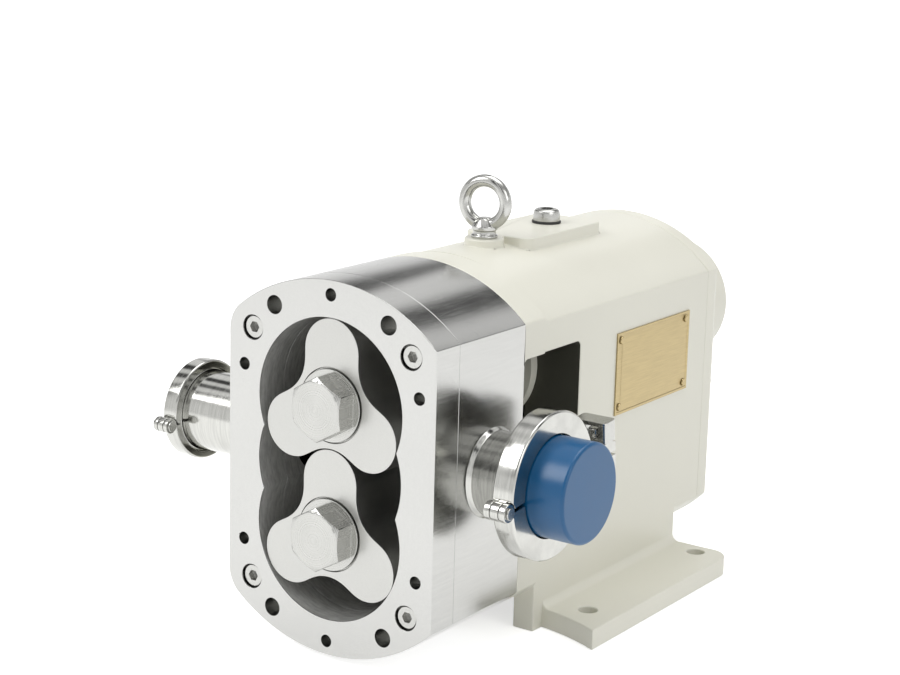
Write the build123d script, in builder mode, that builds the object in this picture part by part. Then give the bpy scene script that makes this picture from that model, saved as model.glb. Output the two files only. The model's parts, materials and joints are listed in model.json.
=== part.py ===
"""Rotary lobe pump with an open head, on a foot-mounted gearbox.

Two three-lobe rotors turn in mesh in a cusped rotor case. A pair of timing gears in the
gearbox keeps them apart. The drive shaft is the upper one.

Frame: the origin is the centre of the four foot bolts on the base plane. +Z is up, +Y points
to the drive end, and +X points to the right-hand port as seen from the open head.
"""

import os
from cmath import exp as turn_by
from math import acos, cos, pi, radians, sin, sqrt, tan
from types import SimpleNamespace

from build123d import *

# ---------------------------------------------------------------- driving dimensions, mm

# Layout
shaft_gap = 78.0  # between the shaft centres, and the pitch diameter of the timing gears
axis_height = 116.0  # base plane to the point midway between the shafts
foot_rows = 140.0  # between the front and the rear foot bolts
head_to_bolts = 138.0  # front face of the head to the front foot bolts
foot_span = 194.0  # between the left and the right foot bolts

# Running clearances and seats
seat_gap = 0.02  # a piece fixed in its seat, per side
running_gap = 0.05  # a journal in its bore, per side
thread_spare = 1.0  # tapped holes beyond the screws, at least
cut_spare = 1.0  # cuts that run out beyond the solid
same_place = 0.01  # edges this close are taken as the same
face_gap = 0.3  # parts that meet face to face but move apart

# Head
head_width = 150.0
head_height = 226.0
head_flat = 166.0  # height of the flat sides, between the arcs
head_corner = 20.0  # rounding of the two corners away from the right-hand port
ring_depth = 22.5
case_depth = 67.5
case_wall = 10.0  # back wall of the rotor case
chamber_radius = 52.0

# Rotors
rotor_tip = 51.6  # theoretical lobe tip radius, before the flank clearance
flank_gap = 0.2  # taken off every rotor flank
rotor_recess = 1.5  # rotor face behind the front face of the head
rotor_back_gap = 0.4  # between the rotor and the back wall
lobes = 3

# Rotor bolts
bolt_flats = 34.0
bolt_head = 13.5
bolt_flange_radius = 21.7
bolt_flange = 3.2
bolt_recess = 2.0
bolt_recess_gap = 0.8  # round the flange
bolt_chamfer = 0.6
bolt_thread_radius = 8.0
bolt_thread_length = 34.0
bolt_thread_run_out = 2.0

# Shafts
journal_radius = 20.0  # through the seals and the lantern
seat_radius = 15.0  # under the bearings, the gears and the spacers
spline_radius = 13.0
spline_teeth = 6
spline_width = 6.0
coupling_radius = 14.0  # drive end
coupling_length = 50.0
coupling_key_width = 8.0
coupling_key_length = 36.0
coupling_key_depth = 4.0
coupling_key_turn = 90.0  # degrees round the shaft from the gear key
shaft_chamfer = 1.5

# Timing gears
gear_teeth = 26
gear_face = 26.0
gear_hub_radius = 23.0
gear_hub = 3.0  # each hub end beyond the teeth
pressure_angle = radians(20)
backlash = 0.15  # tooth thinning at the pitch circle of each gear
gear_tip_relief = 0.1
dedendum = 1.25  # in modules
gear_stand = 22.0  # front hub behind the bearing wall
gear_nut_length = 9.0
nut_slots = 4
nut_slot_depth = 4.0
nut_slot_width = 5.0
spacer_step = 1.0  # spacer below the journal
key_width = 8.0
key_depth = 4.0  # in the shaft
key_height = 7.0
key_length = 24.0
key_top_gap = 0.2

# Ball bearings
bearing_radius = 31.0
bearing_width = 16.0
ball_radius = 4.76
ball_circle = 23.0
ball_count = 8
race_wall = 4.5
bearing_inset = 1.0  # bearing behind the face of its bore
bearing_end_gap = 0.1

# Shaft seals and lip seals
seal_radius = 29.0
seal_lip = 2.0  # wall left in front of the stationary seal
seal_stand = 1.0  # stationary seal beyond the case's back face
seal_ring_radius = 27.0
seal_ring_length = 9.0
seal_bore_gap = 0.6  # stationary seal round the journal
seal_hole_gap = 1.0  # chamber wall round the journal
seal_groove = 2.0  # wall, width and depth of the groove in a seal ring
lip_radius = 27.0
lip_width = 6.0
drive_lip_radius = 22.0
drive_lip_width = 8.0
lip_inset = 0.5

# Gearbox housing
flange_depth = 23.0
gearbox_width = 146.0
gearbox_height = 224.0
gearbox_flat = 160.0
gearbox_wall = 14.0
gearbox_back = 322.0  # front face of the head to the rear cover joint
window_length = 67.0
window_height = 122.0
window_corner = 4.0
core_gap = 2.0  # cored space round the bearing cover
bearing_wall = 33.0
bearing_land = 27.0  # radius of the hole behind each front bearing
cover_lobe_radius = 42.0
bearing_cover = 7.0
cover_screw_circle = 35.7
cover_screw_angles = (30, 90, 150)

# Feet
foot_width = 236.0
foot_front = 109.0  # from the front face of the head
foot_back = 290.0
foot_thickness = 13.0
foot_hole_radius = 6.0
foot_corner = 13.0
foot_sweep = 14.0  # how far the front edge draws back at the wall
foot_sweep_middle = 0.65  # share of the sweep half-way along that edge
pedestal_wall = 15.0
pedestal_fillet = 5.0
pedestal_lap = 10.0  # pedestal wall up into the barrel

# Top pad, eye bolt and filler
pad_height = 4.8  # above the crown of the barrel
pad_width = 50.0
pad_front = 168.0  # from the front face of the head
pad_back = 260.0
pad_corner = 8.0
eye_station = 155.5
eye_boss_radius = 12.5
eye_ring_radius = 14.0
eye_wire_radius = 3.9
eye_collar_radius = 8.6
eye_collar = 4.0
eye_neck_radius = 6.0
eye_thread_radius = 4.0
eye_thread_length = 14.0
eye_turn = 9.0  # degrees that the ring is turned from square across the pump
filler_station = 228.5
filler_radius = 8.8
filler_height = 8.0
filler_chamfer = 1.0
filler_seal_radius = 9.6
filler_seal_height = 1.5
filler_thread_radius = 6.5
filler_thread_length = 12.0
filler_hole_depth = 30.0
filler_socket = 8.0
filler_socket_depth = 5.0

# Rear cover
cover_depth = 18.0
cover_edge = 8.0
cover_boss_depth = 18.0  # inner boss that holds the rear bearings
cover_boss_radius = 38.0
drive_boss_radius = 45.0
drive_boss_length = 70.0
drive_boss_edge = 5.0
rear_land_step = 2.0  # rear bearing land below the front one
rear_land_depth = 6.0

# Ports, clamps and caps. The right port is short with a full-size clamp, and the left one
# is long with a slim clamp
outlet_sizes = {
    "right": {
        "side": 1, "reach": 110.0, "ferrule": 32.0, "neck": 1.4, "ring": 44.0, "width": 14.0, "bore": 30.6,
        "hinge": 47.0, "knuckle": 5.5, "knuckle_width": 5.6, "pivot": 57.0, "ear": 64.0,
        "cap": 29.8, "cap_length": 32.0,
    },
    "left": {
        "side": -1, "reach": 147.0, "ferrule": 28.5, "neck": 0.6, "ring": 32.0, "width": 11.0, "bore": 27.1,
        "hinge": 36.0, "knuckle": 4.8, "knuckle_width": 4.4, "pivot": 46.0, "ear": 53.0,
        "cap": 26.3, "cap_length": 11.0,
    },
}
groove_clearance = 1.0  # groove of a clamp beyond the ferrule
eye_clearance = 0.5  # slot of an ear beyond the eye of the swing bolt
knuckle_clearance = 0.5  # space round each hinge knuckle
link_gap = 0.3  # space cut beside each hinge knuckle, per side
link_play = 0.1  # hinge knuckles narrower than their share, per side
ear_root = 0.5  # foot of an ear beyond the clamp's groove
ear_corner = 4.0
clamp_edge = 1.0
port_station = 58.7  # from the front face of the head
tube_radius = 25.4
tube_wall = 1.6
weld_rise = 2.0
weld_run = 2.5
neck_run = 2.0  # tube to neck, beyond the neck's own height
ferrule_rim = 2.9
clamp_offset = 1.0  # clamp centre beyond the ferrule face
clamp_taper = radians(20)
clamp_angle = 6.0  # degrees that the split rises towards the drive end
clamp_split = 2.0
hinge_radius = 2.5
hinge_head = 1.2
hinge_head_lip = 1.0
ear_width = 20.0
ear_slot = 9.0
ear_slot_spare = 5.0  # cut beyond the ear
pivot_drop = 8.0
pivot_radius = 2.5
ear_top = 8.5
ear_bottom = 14.0
swing_radius = 3.95
swing_eye_radius = 5.0
swing_eye_width = 8.4
swing_chamfer = 0.6
nut_width = 22.0
nut_depth = 12.0
nut_height = 13.0
nut_base = 3.2
nut_bar = 2.6
nut_window = 11.0
nut_corner = 2.5
nut_swing_gap = 0.2
swing_stand = 4.5  # bolt end inside the nut's window
cap_wall = 2.6
cap_spigot = 15.0
cap_spigot_gap = 0.2
cap_edge = 2.0
cap_lead = 1.0

# Screws
case_screw_x = 57.3
case_screw_z = 76.9
m8_radius = 4.0
m8_head_radius = 6.5
m8_head = 8.0
m8_socket = 6.0
m6_radius = 3.0
m6_head_radius = 5.0
m6_head = 6.0
m6_socket = 5.0
clear_hole = 0.5  # clearance holes beyond the screw radius
counterbore_gap = 1.0
head_sink = 1.5  # socket heads below the face they are sunk in
case_screw_grip = 16.0  # screw thread in the gearbox housing
cover_screw_grip = 12.0
rear_screw_grip = 14.0
rear_screw_top_x = 36.0
rear_screw_drop = 18.0  # below the ends of the flat sides
stud_x = 41.2
stud_z = 92.8
stud_hole_radius = 5.5
stud_hole_depth = 18.0
cover_hole_x = 63.5
cover_hole_z = 54.1
cover_hole_top = 104.5
cover_hole_radius = 3.7
cover_hole_depth = 15.0

# Nameplate, sight glass and drain
plate_length = 95.0
plate_height = 54.0
plate_thickness = 1.0
plate_corner = 1.5
plate_front = 201.0  # from the front face of the head
plate_base = 3.6  # above the pump's centre height
rivet_radius = 1.8
rivet_head = 1.0
rivet_lip = 0.8
rivet_taper = 20.0
rivet_inset = 5.0
glass_station = 248.0
glass_drop = 18.0
glass_radius = 14.0
glass_flange = 4.0
glass_thread_radius = 10.0
glass_thread_short = 2.0  # thread short of the wall's inside
lens_radius = 8.5
lens_thickness = 2.0
lens_inset = 1.0
lens_seat = 2.0
drain_drop = 86.0
drain_flats = 17.0
drain_flange_radius = 11.0
drain_flange = 2.0
drain_head = 7.0
drain_thread_radius = 6.5
drain_thread_length = 14.0

# ---------------------------------------------------------------- stations and derived sizes

head_front = -head_to_bolts - foot_rows / 2
case_front = head_front + ring_depth
case_back = case_front + case_depth
chamber_back = case_back - case_wall
flange_back = case_back + flange_depth
window_back = case_back + window_length
barrel_back = head_front + gearbox_back
cover_back = barrel_back + cover_depth
boss_end = cover_back + drive_boss_length
drive_end = boss_end + coupling_length
port_y = head_front + port_station
shaft_heights = {"drive": shaft_gap / 2, "driven": -shaft_gap / 2}

rotor_front = head_front + rotor_recess
rotor_back = chamber_back - rotor_back_gap
pitch_radius = shaft_gap / 2
rotor_theory = rotor_tip**2 - pitch_radius**2
lobe_centre = rotor_theory / (2 * rotor_tip - 2 * cos(pi / (2 * lobes)) * pitch_radius)
lobe_radius = rotor_tip - lobe_centre
shaft_front = rotor_front + bolt_recess + face_gap

bearing_front = window_back + bearing_inset
rear_bearing_front = barrel_back - cover_boss_depth + bearing_inset
gear_front = window_back + bearing_wall + gear_stand
gear_back = gear_front + gear_face + 2 * gear_hub

top_of_barrel = gearbox_height / 2
pad_top = axis_height + top_of_barrel + pad_height
ear_seat = ear_top + pivot_drop  # radius of the ear's top about the bolt pivot

os.makedirs("parts", exist_ok=True)


# ---------------------------------------------------------------- shared helpers


def across(station):
    """Plane across the pump, centred between the shafts, seen from the open head."""
    return Plane(origin=(0, station, axis_height), x_dir=(1, 0, 0), z_dir=(0, -1, 0))


def shaft_plane(height):
    """Plane through a shaft: local x is the radius and local y the station."""
    return Plane(origin=(0, 0, axis_height + height), x_dir=(1, 0, 0), z_dir=(0, 0, 1))


def shaft_axis(height):
    return Axis((0, 0, axis_height + height), (0, 1, 0))


def sleeve(height, outer, inner, start, end, mode=Mode.ADD):
    """A disc or ring on a shaft axis, from one station to another."""
    with BuildSketch(across(start)) as section:
        with Locations((0, height)):
            Circle(outer)
            if inner:
                Circle(inner, mode=Mode.SUBTRACT)
    extrude(section.sketch, amount=start - end, mode=mode)


def four_corners(x, z):
    return [(x, z), (-x, z), (-x, -z), (x, -z)]


def save(part, name):
    part.label = name
    export_step(part, f"parts/{name}.step")


def arched_outline(width, flat, height):
    """Flat sides joined by a shallow arc at the top and at the bottom."""
    with BuildLine() as outline:
        Line((width / 2, -flat / 2), (width / 2, flat / 2))
        ThreePointArc((width / 2, flat / 2), (0, height / 2), (-width / 2, flat / 2))
        Line((-width / 2, flat / 2), (-width / 2, -flat / 2))
        ThreePointArc((-width / 2, -flat / 2), (0, -height / 2), (width / 2, -flat / 2))
    make_face(outline.edges())


def head_outline():
    arched_outline(head_width, head_flat, head_height)


def arc_height(width, flat, height, inset, x):
    """Height of the top arc of an arched outline at x, drawn in by an inset."""
    rise = (height - flat) / 2
    radius = ((width / 2) ** 2 + rise**2) / (2 * rise)
    return height / 2 - radius + sqrt((radius - inset) ** 2 - x**2)


def chamber(start, end):
    """Three equal bores make the cusped rotor chamber."""
    with BuildSketch(across(start)) as section:
        with Locations((0, shaft_gap / 2), (0, 0), (0, -shaft_gap / 2)):
            Circle(chamber_radius)
    extrude(section.sketch, amount=start - end, mode=Mode.SUBTRACT)


def round_left_corners(station):
    """Rounds the head's two long corners on the side away from the right-hand port."""
    corners = part_edges_at(-head_width / 2, station)
    fillet(corners, head_corner)


def part_edges_at(x, station):
    long_edges = edges().filter_by(Axis.Y)
    return [
        edge
        for edge in long_edges
        if abs(edge.center().X - x) < same_place
        and abs(abs(edge.center().Z - axis_height) - head_flat / 2) < same_place
    ]


def round_holes(start, places, radius, depth):
    with BuildSketch(across(start)) as holes:
        with Locations(*places):
            Circle(radius)
    extrude(holes.sketch, amount=-depth, mode=Mode.SUBTRACT)


def socket_screws(face, places, radius, head_radius, head, socket, length):
    """Socket head screws whose heads stand on a face across the pump and point forwards."""
    with BuildSketch(across(face)) as shanks:
        with Locations(*places):
            Circle(radius)
    extrude(shanks.sketch, amount=-length)
    with BuildSketch(across(face)) as heads:
        with Locations(*places):
            Circle(head_radius)
    extrude(heads.sketch, amount=head)
    with BuildSketch(across(face - head)) as sockets:
        with Locations(*places):
            RegularPolygon(socket / 2, 6, major_radius=False)
    extrude(sockets.sketch, amount=-head / 2, mode=Mode.SUBTRACT)


# ---------------------------------------------------------------- head

case_screws_at = four_corners(case_screw_x, case_screw_z)
studs_at = four_corners(stud_x, stud_z)
cover_holes_at = [*four_corners(cover_hole_x, cover_hole_z), (0, cover_hole_top), (0, -cover_hole_top)]
screw_seat = head_front + m8_head + head_sink

with BuildPart() as front_ring:
    with BuildSketch(across(head_front)):
        head_outline()
    extrude(amount=-ring_depth)
    round_left_corners(head_front)
    chamber(head_front, case_front)
    round_holes(head_front, case_screws_at, m8_radius + clear_hole, ring_depth)
    round_holes(head_front, case_screws_at, m8_head_radius + counterbore_gap, screw_seat - head_front)
    round_holes(head_front, studs_at, stud_hole_radius, stud_hole_depth)
    round_holes(head_front, cover_holes_at, cover_hole_radius, cover_hole_depth)
save(front_ring.part, "front_ring")

with BuildPart() as rotor_case:
    with BuildSketch(across(case_front)):
        head_outline()
    extrude(amount=-case_depth)
    round_left_corners(case_front)
    chamber(case_front, chamber_back)
    round_holes(case_front, case_screws_at, m8_radius + clear_hole, case_depth)
    for height in shaft_heights.values():
        sleeve(height, journal_radius + seal_hole_gap, 0, chamber_back, case_back, mode=Mode.SUBTRACT)
        sleeve(height, seal_radius, 0, chamber_back + seal_lip, case_back, mode=Mode.SUBTRACT)
    with BuildSketch(Plane(origin=(-head_width / 2, port_y, axis_height), z_dir=(1, 0, 0))):
        Circle(tube_radius - tube_wall)
    extrude(amount=head_width, mode=Mode.SUBTRACT)
save(rotor_case.part, "rotor_case")

with BuildPart() as case_screws:
    socket_screws(
        screw_seat, case_screws_at, m8_radius, m8_head_radius, m8_head, m8_socket,
        case_back + case_screw_grip - screw_seat,
    )
save(case_screws.part, "case_screws")


# ---------------------------------------------------------------- rotors


def valley_point(angle):
    """Point of a rotor valley, in complex form, with the valley's middle along +x.

    The centre of the mating lobe runs on a trochoid, and the valley is the curve that
    the lobe's round tip sweeps out beside it.
    """
    path = shaft_gap * turn_by(1j * angle) - lobe_centre * turn_by(2j * angle)
    slope = 1j * (shaft_gap * turn_by(1j * angle) - 2 * lobe_centre * turn_by(2j * angle))
    return path + (lobe_radius + flank_gap) * 1j * slope / abs(slope), slope


def rotor_outline(first_lobe):
    """Round lobe tips joined by conjugate valleys."""
    half_valley = pi / (2 * lobes)
    steps = 4
    with BuildLine() as outline:
        for lobe in range(lobes):
            lobe_turn = turn_by(1j * (first_lobe + 2 * pi * lobe / lobes))
            valley_turn = lobe_turn * turn_by(1j * pi / lobes)
            angles = [half_valley * step / steps for step in range(-steps, steps + 1)]
            valley = [valley_turn * valley_point(angle)[0] for angle in angles]
            leave = valley_turn * valley_point(-half_valley)[1]
            arrive = valley_turn * valley_point(half_valley)[1]
            before = lobe_turn * turn_by(-1j * pi / lobes) * valley_point(half_valley)[0]
            tip = lobe_turn * (rotor_tip - flank_gap)
            ThreePointArc(
                (before.real, before.imag), (tip.real, tip.imag), (valley[0].real, valley[0].imag)
            )
            Spline(
                *[(point.real, point.imag) for point in valley],
                tangents=[(leave.real, leave.imag), (arrive.real, arrive.imag)],
            )
    make_face(outline.edges())


def spline_outline(root, tip, width):
    """Straight-sided spline of a shaft end or of the bore that fits it."""
    Circle(root)
    with PolarLocations(0, spline_teeth // 2, angular_range=180):
        Rectangle(2 * tip, width)


def build_rotor(height):
    with BuildPart() as rotor:
        with BuildSketch(across(rotor_front)):
            with Locations((0, height)):
                add(rotor_sketch.sketch)
        extrude(amount=rotor_front - rotor_back)
        sleeve(
            height, bolt_flange_radius + bolt_recess_gap, 0, rotor_front, rotor_front + bolt_recess,
            Mode.SUBTRACT,
        )
        with BuildSketch(across(rotor_front)):
            with Locations((0, height)):
                add(spline_bore.sketch)
        extrude(amount=rotor_front - rotor_back, mode=Mode.SUBTRACT)
    return rotor.part


with BuildSketch() as rotor_sketch:
    rotor_outline(pi / 2)

with BuildSketch() as spline_bore:
    spline_outline(spline_radius + seat_gap, seat_radius + seat_gap, spline_width + 2 * seat_gap)

for name, height in shaft_heights.items():
    save(build_rotor(height), f"{name}_rotor")


def build_rotor_bolt(height):
    head_base = rotor_front + bolt_recess - bolt_flange
    with BuildPart() as bolt:
        sleeve(height, bolt_flange_radius, 0, head_base, rotor_front + bolt_recess)
        with BuildSketch(across(head_base)):
            with Locations((0, height)):
                RegularPolygon(bolt_flats / 2, 6, major_radius=False, rotation=30)
        extrude(amount=bolt_head)
        with BuildSketch(shaft_plane(height)):
            chamfer_start = bolt_flats / 2 - bolt_chamfer
            corner = bolt_flats / sqrt(3) + cut_spare
            tip = head_base - bolt_head
            with BuildLine():
                Polyline(
                    (chamfer_start, tip), (corner, tip),
                    (corner, tip + (corner - chamfer_start) * tan(pi / 6)),
                    close=True,
                )
            make_face()
        revolve(axis=shaft_axis(height), mode=Mode.SUBTRACT)
        sleeve(
            height, bolt_thread_radius, 0, rotor_front + bolt_recess, shaft_front + bolt_thread_length
        )
    return bolt.part


for name, height in shaft_heights.items():
    save(build_rotor_bolt(height), f"{name}_rotor_bolt")


# ---------------------------------------------------------------- shafts


def build_shaft(height, tail_steps, keyways):
    """Splined front end, journal, bearing and gear seat, and the given tail."""
    with BuildPart() as shaft:
        with BuildSketch(across(shaft_front)):
            with Locations((0, height)):
                spline_outline(spline_radius, seat_radius, spline_width)
        extrude(amount=shaft_front - rotor_back)
        sleeve(height, journal_radius, 0, rotor_back, bearing_front)
        start = bearing_front
        for radius, end in tail_steps:
            sleeve(height, radius, 0, start, end)
            start = end
        sleeve(
            height, bolt_thread_radius + seat_gap, 0, shaft_front,
            shaft_front + bolt_thread_length + bolt_thread_run_out, Mode.SUBTRACT,
        )
        for middle, radius, depth, width, length, turn in keyways:
            outward = (sin(radians(turn)), 0, cos(radians(turn)))
            flat = Plane(origin=(0, middle, axis_height + height), x_dir=(0, 1, 0), z_dir=outward)
            with BuildSketch(flat.offset(radius)):
                SlotOverall(length, width)
            extrude(amount=-depth, mode=Mode.SUBTRACT)
        chamfer(shaft.edges().sort_by(Axis.Y)[-1], shaft_chamfer)
    return shaft.part


gear_middle = (gear_front + gear_back) / 2
gear_keyway = (gear_middle, seat_radius, key_depth, key_width, key_length, 0)
coupling_keyway = (
    boss_end + coupling_length / 2, coupling_radius, coupling_key_depth, coupling_key_width,
    coupling_key_length, coupling_key_turn,
)
rear_bearing_back = rear_bearing_front + bearing_width
drive_tail = [(seat_radius, boss_end), (coupling_radius, drive_end)]
driven_tail = [(seat_radius, rear_bearing_back)]
save(build_shaft(shaft_heights["drive"], drive_tail, [gear_keyway, coupling_keyway]), "drive_shaft")
save(build_shaft(shaft_heights["driven"], driven_tail, [gear_keyway]), "driven_shaft")


# ---------------------------------------------------------------- timing gears


def involute(angle):
    return tan(angle) - angle


def gear_outline(first_tooth):
    """Involute teeth on the pitch circle, thinned by the backlash."""
    module = shaft_gap / gear_teeth
    base = pitch_radius * cos(pressure_angle)
    tip = pitch_radius + module - gear_tip_relief
    root = pitch_radius - dedendum * module
    half_at_pitch = pi / (2 * gear_teeth) - backlash / (2 * pitch_radius)

    def flank(radius):
        """Half the angle that a tooth fills at a radius."""
        at_radius = acos(min(1, base / radius))
        return half_at_pitch + involute(pressure_angle) - involute(at_radius)

    def at(radius, angle):
        return (radius * cos(angle), radius * sin(angle))

    middle = (base + tip) / 2
    with BuildLine() as outline:
        for tooth in range(gear_teeth):
            centre = first_tooth + 2 * pi * tooth / gear_teeth
            following = centre + 2 * pi / gear_teeth
            Line(at(root, centre - flank(base)), at(base, centre - flank(base)))
            ThreePointArc(
                at(base, centre - flank(base)), at(middle, centre - flank(middle)),
                at(tip, centre - flank(tip)),
            )
            Line(at(tip, centre - flank(tip)), at(tip, centre + flank(tip)))
            ThreePointArc(
                at(tip, centre + flank(tip)), at(middle, centre + flank(middle)),
                at(base, centre + flank(base)),
            )
            Line(at(base, centre + flank(base)), at(root, centre + flank(base)))
            Line(at(root, centre + flank(base)), at(root, following - flank(base)))
    make_face(outline.edges())


for name, height in shaft_heights.items():
    first_tooth = -pi / 2 if name == "drive" else pi / 2 + pi / gear_teeth
    with BuildSketch() as teeth:
        gear_outline(first_tooth)
    with BuildPart() as gear:
        with BuildSketch(across(gear_front + gear_hub)):
            with Locations((0, height)):
                add(teeth.sketch)
        extrude(amount=-gear_face)
        sleeve(height, gear_hub_radius, 0, gear_front, gear_back)
        sleeve(height, seat_radius + seat_gap, 0, gear_front, gear_back, Mode.SUBTRACT)
        with BuildSketch(Plane.XY.offset(axis_height + height)):
            with Locations((0, gear_middle)):
                Rectangle(key_width + 2 * seat_gap, gear_back - gear_front)
        extrude(amount=seat_radius - key_depth + key_height + key_top_gap, mode=Mode.SUBTRACT)
    save(gear.part, f"{name}_gear")

    with BuildPart() as gear_key:
        with BuildSketch(Plane.XY.offset(axis_height + height + seat_radius - key_depth)):
            with Locations((0, gear_middle)):
                SlotOverall(key_length - 2 * seat_gap, key_width - 2 * seat_gap, rotation=90)
        extrude(amount=key_height)
    save(gear_key.part, f"{name}_gear_key")

    with BuildPart() as gear_nut:
        sleeve(
            height, gear_hub_radius, seat_radius + seat_gap, gear_back + seat_gap,
            gear_back + gear_nut_length,
        )
        with BuildSketch(across(gear_back + seat_gap)):
            with Locations((0, height)):
                with PolarLocations(gear_hub_radius, nut_slots):
                    Rectangle(nut_slot_depth, nut_slot_width)
        extrude(amount=-gear_nut_length, mode=Mode.SUBTRACT)
    save(gear_nut.part, f"{name}_gear_nut")

    with BuildPart() as spacer:
        sleeve(
            height, journal_radius - spacer_step, seat_radius + seat_gap,
            bearing_front + bearing_width + seat_gap, gear_front - seat_gap,
        )
    save(spacer.part, f"{name}_spacer")


# ---------------------------------------------------------------- ball bearings

bearing_starts = [bearing_front, rear_bearing_front]


def race_groove(height, start):
    with BuildSketch(shaft_plane(height)) as groove:
        with Locations((ball_circle, start + bearing_width / 2)):
            Circle(ball_radius + running_gap)
    revolve(groove.sketch, axis=shaft_axis(height), mode=Mode.SUBTRACT)


def race(height, start, outer, inner):
    sleeve(height, outer, inner, start, start + bearing_width)


with BuildPart() as bearing_outer_races:
    for height in shaft_heights.values():
        for start in bearing_starts:
            race(height, start, bearing_radius, bearing_radius - race_wall)
            race_groove(height, start)
save(bearing_outer_races.part, "bearing_outer_races")

for name, height in shaft_heights.items():
    with BuildPart() as inner_races:
        for start in bearing_starts:
            race(height, start, seat_radius + race_wall, seat_radius + seat_gap)
            race_groove(height, start)
    save(inner_races.part, f"{name}_inner_races")

    with BuildPart() as balls:
        for start in bearing_starts:
            for step in range(ball_count):
                angle = 2 * pi * step / ball_count
                across_x = ball_circle * cos(angle)
                above = axis_height + height + ball_circle * sin(angle)
                with Locations((across_x, start + bearing_width / 2, above)):
                    Sphere(ball_radius)
    save(balls.part, f"{name}_bearing_balls")


# ---------------------------------------------------------------- shaft seals

seal_back = case_back + seal_stand
with BuildPart() as stationary_seals:
    for height in shaft_heights.values():
        sleeve(
            height, seal_radius - seat_gap, journal_radius + seal_bore_gap,
            chamber_back + seal_lip + seat_gap, seal_back,
        )
save(stationary_seals.part, "stationary_seals")

for name, height in shaft_heights.items():
    with BuildPart() as seal_ring:
        sleeve(
            height, seal_ring_radius, journal_radius + seat_gap, seal_back + running_gap,
            seal_back + seal_ring_length,
        )
        ring_back = seal_back + seal_ring_length
        groove_radius = seal_ring_radius - seal_groove
        sleeve(
            height, groove_radius, groove_radius - seal_groove, ring_back - seal_groove, ring_back,
            Mode.SUBTRACT,
        )
    save(seal_ring.part, f"{name}_seal_ring")

cover_front = window_back - bearing_cover
cover_screws_at = [
    (
        cover_screw_circle * cos(radians(angle)),
        side * (shaft_gap / 2 + cover_screw_circle * sin(radians(angle))),
    )
    for side in (1, -1)
    for angle in cover_screw_angles
]
lip_front = cover_front + lip_inset

with BuildPart() as bearing_cover_plate:
    with BuildSketch(across(cover_front)):
        with Locations((0, shaft_gap / 2), (0, -shaft_gap / 2)):
            Circle(cover_lobe_radius)
    extrude(amount=-bearing_cover)
    for height in shaft_heights.values():
        sleeve(height, lip_radius, 0, cover_front, window_back, Mode.SUBTRACT)
    round_holes(cover_front, cover_screws_at, m6_radius + clear_hole, bearing_cover)
save(bearing_cover_plate.part, "bearing_cover")

with BuildPart() as bearing_cover_screws:
    socket_screws(
        cover_front, cover_screws_at, m6_radius, m6_head_radius, m6_head, m6_socket,
        bearing_cover + cover_screw_grip,
    )
save(bearing_cover_screws.part, "bearing_cover_screws")

with BuildPart() as front_lip_seals:
    for height in shaft_heights.values():
        sleeve(height, lip_radius - seat_gap, journal_radius + running_gap, lip_front, lip_front + lip_width)
save(front_lip_seals.part, "front_lip_seals")

with BuildPart() as drive_lip_seal:
    sleeve(
        shaft_gap / 2, drive_lip_radius - seat_gap, seat_radius + running_gap,
        boss_end - drive_lip_width, boss_end - lip_inset,
    )
save(drive_lip_seal.part, "drive_lip_seal")


# ---------------------------------------------------------------- gearbox housing

rear_screw_inset = gearbox_wall / 2
rear_screw_x = gearbox_width / 2 - rear_screw_inset
rear_screw_top = arc_height(gearbox_width, gearbox_flat, gearbox_height, rear_screw_inset, rear_screw_top_x)
rear_screws_at = [
    *four_corners(rear_screw_x, gearbox_flat / 2 - rear_screw_drop),
    (rear_screw_x, 0), (-rear_screw_x, 0),
    *four_corners(rear_screw_top_x, rear_screw_top),
]
eye_y = head_front + eye_station
filler_y = head_front + filler_station
foot_front_y = head_front + foot_front
foot_back_y = head_front + foot_back
glass_y = head_front + glass_station
glass_z = axis_height - glass_drop
wall_x = gearbox_width / 2


def foot_outline(side):
    """Plan of one foot. Its front edge draws back in a hollow curve to the wall."""
    inner = wall_x - pedestal_wall
    outer = foot_width / 2
    sweep_start = foot_front_y + foot_sweep
    with BuildLine() as outline:
        Line((side * inner, foot_back_y), (side * inner, sweep_start))
        Line((side * inner, sweep_start), (side * wall_x, sweep_start))
        ThreePointArc(
            (side * wall_x, sweep_start),
            (side * (wall_x + outer) / 2, foot_front_y + foot_sweep_middle * foot_sweep),
            (side * outer, foot_front_y),
        )
        Line((side * outer, foot_front_y), (side * outer, foot_back_y - foot_corner))
        ThreePointArc(
            (side * outer, foot_back_y - foot_corner),
            (side * (outer - foot_corner * (1 - sqrt(0.5))), foot_back_y - foot_corner * (1 - sqrt(0.5))),
            (side * (outer - foot_corner), foot_back_y),
        )
        Line((side * (outer - foot_corner), foot_back_y), (side * inner, foot_back_y))
    make_face(outline.edges())


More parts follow.
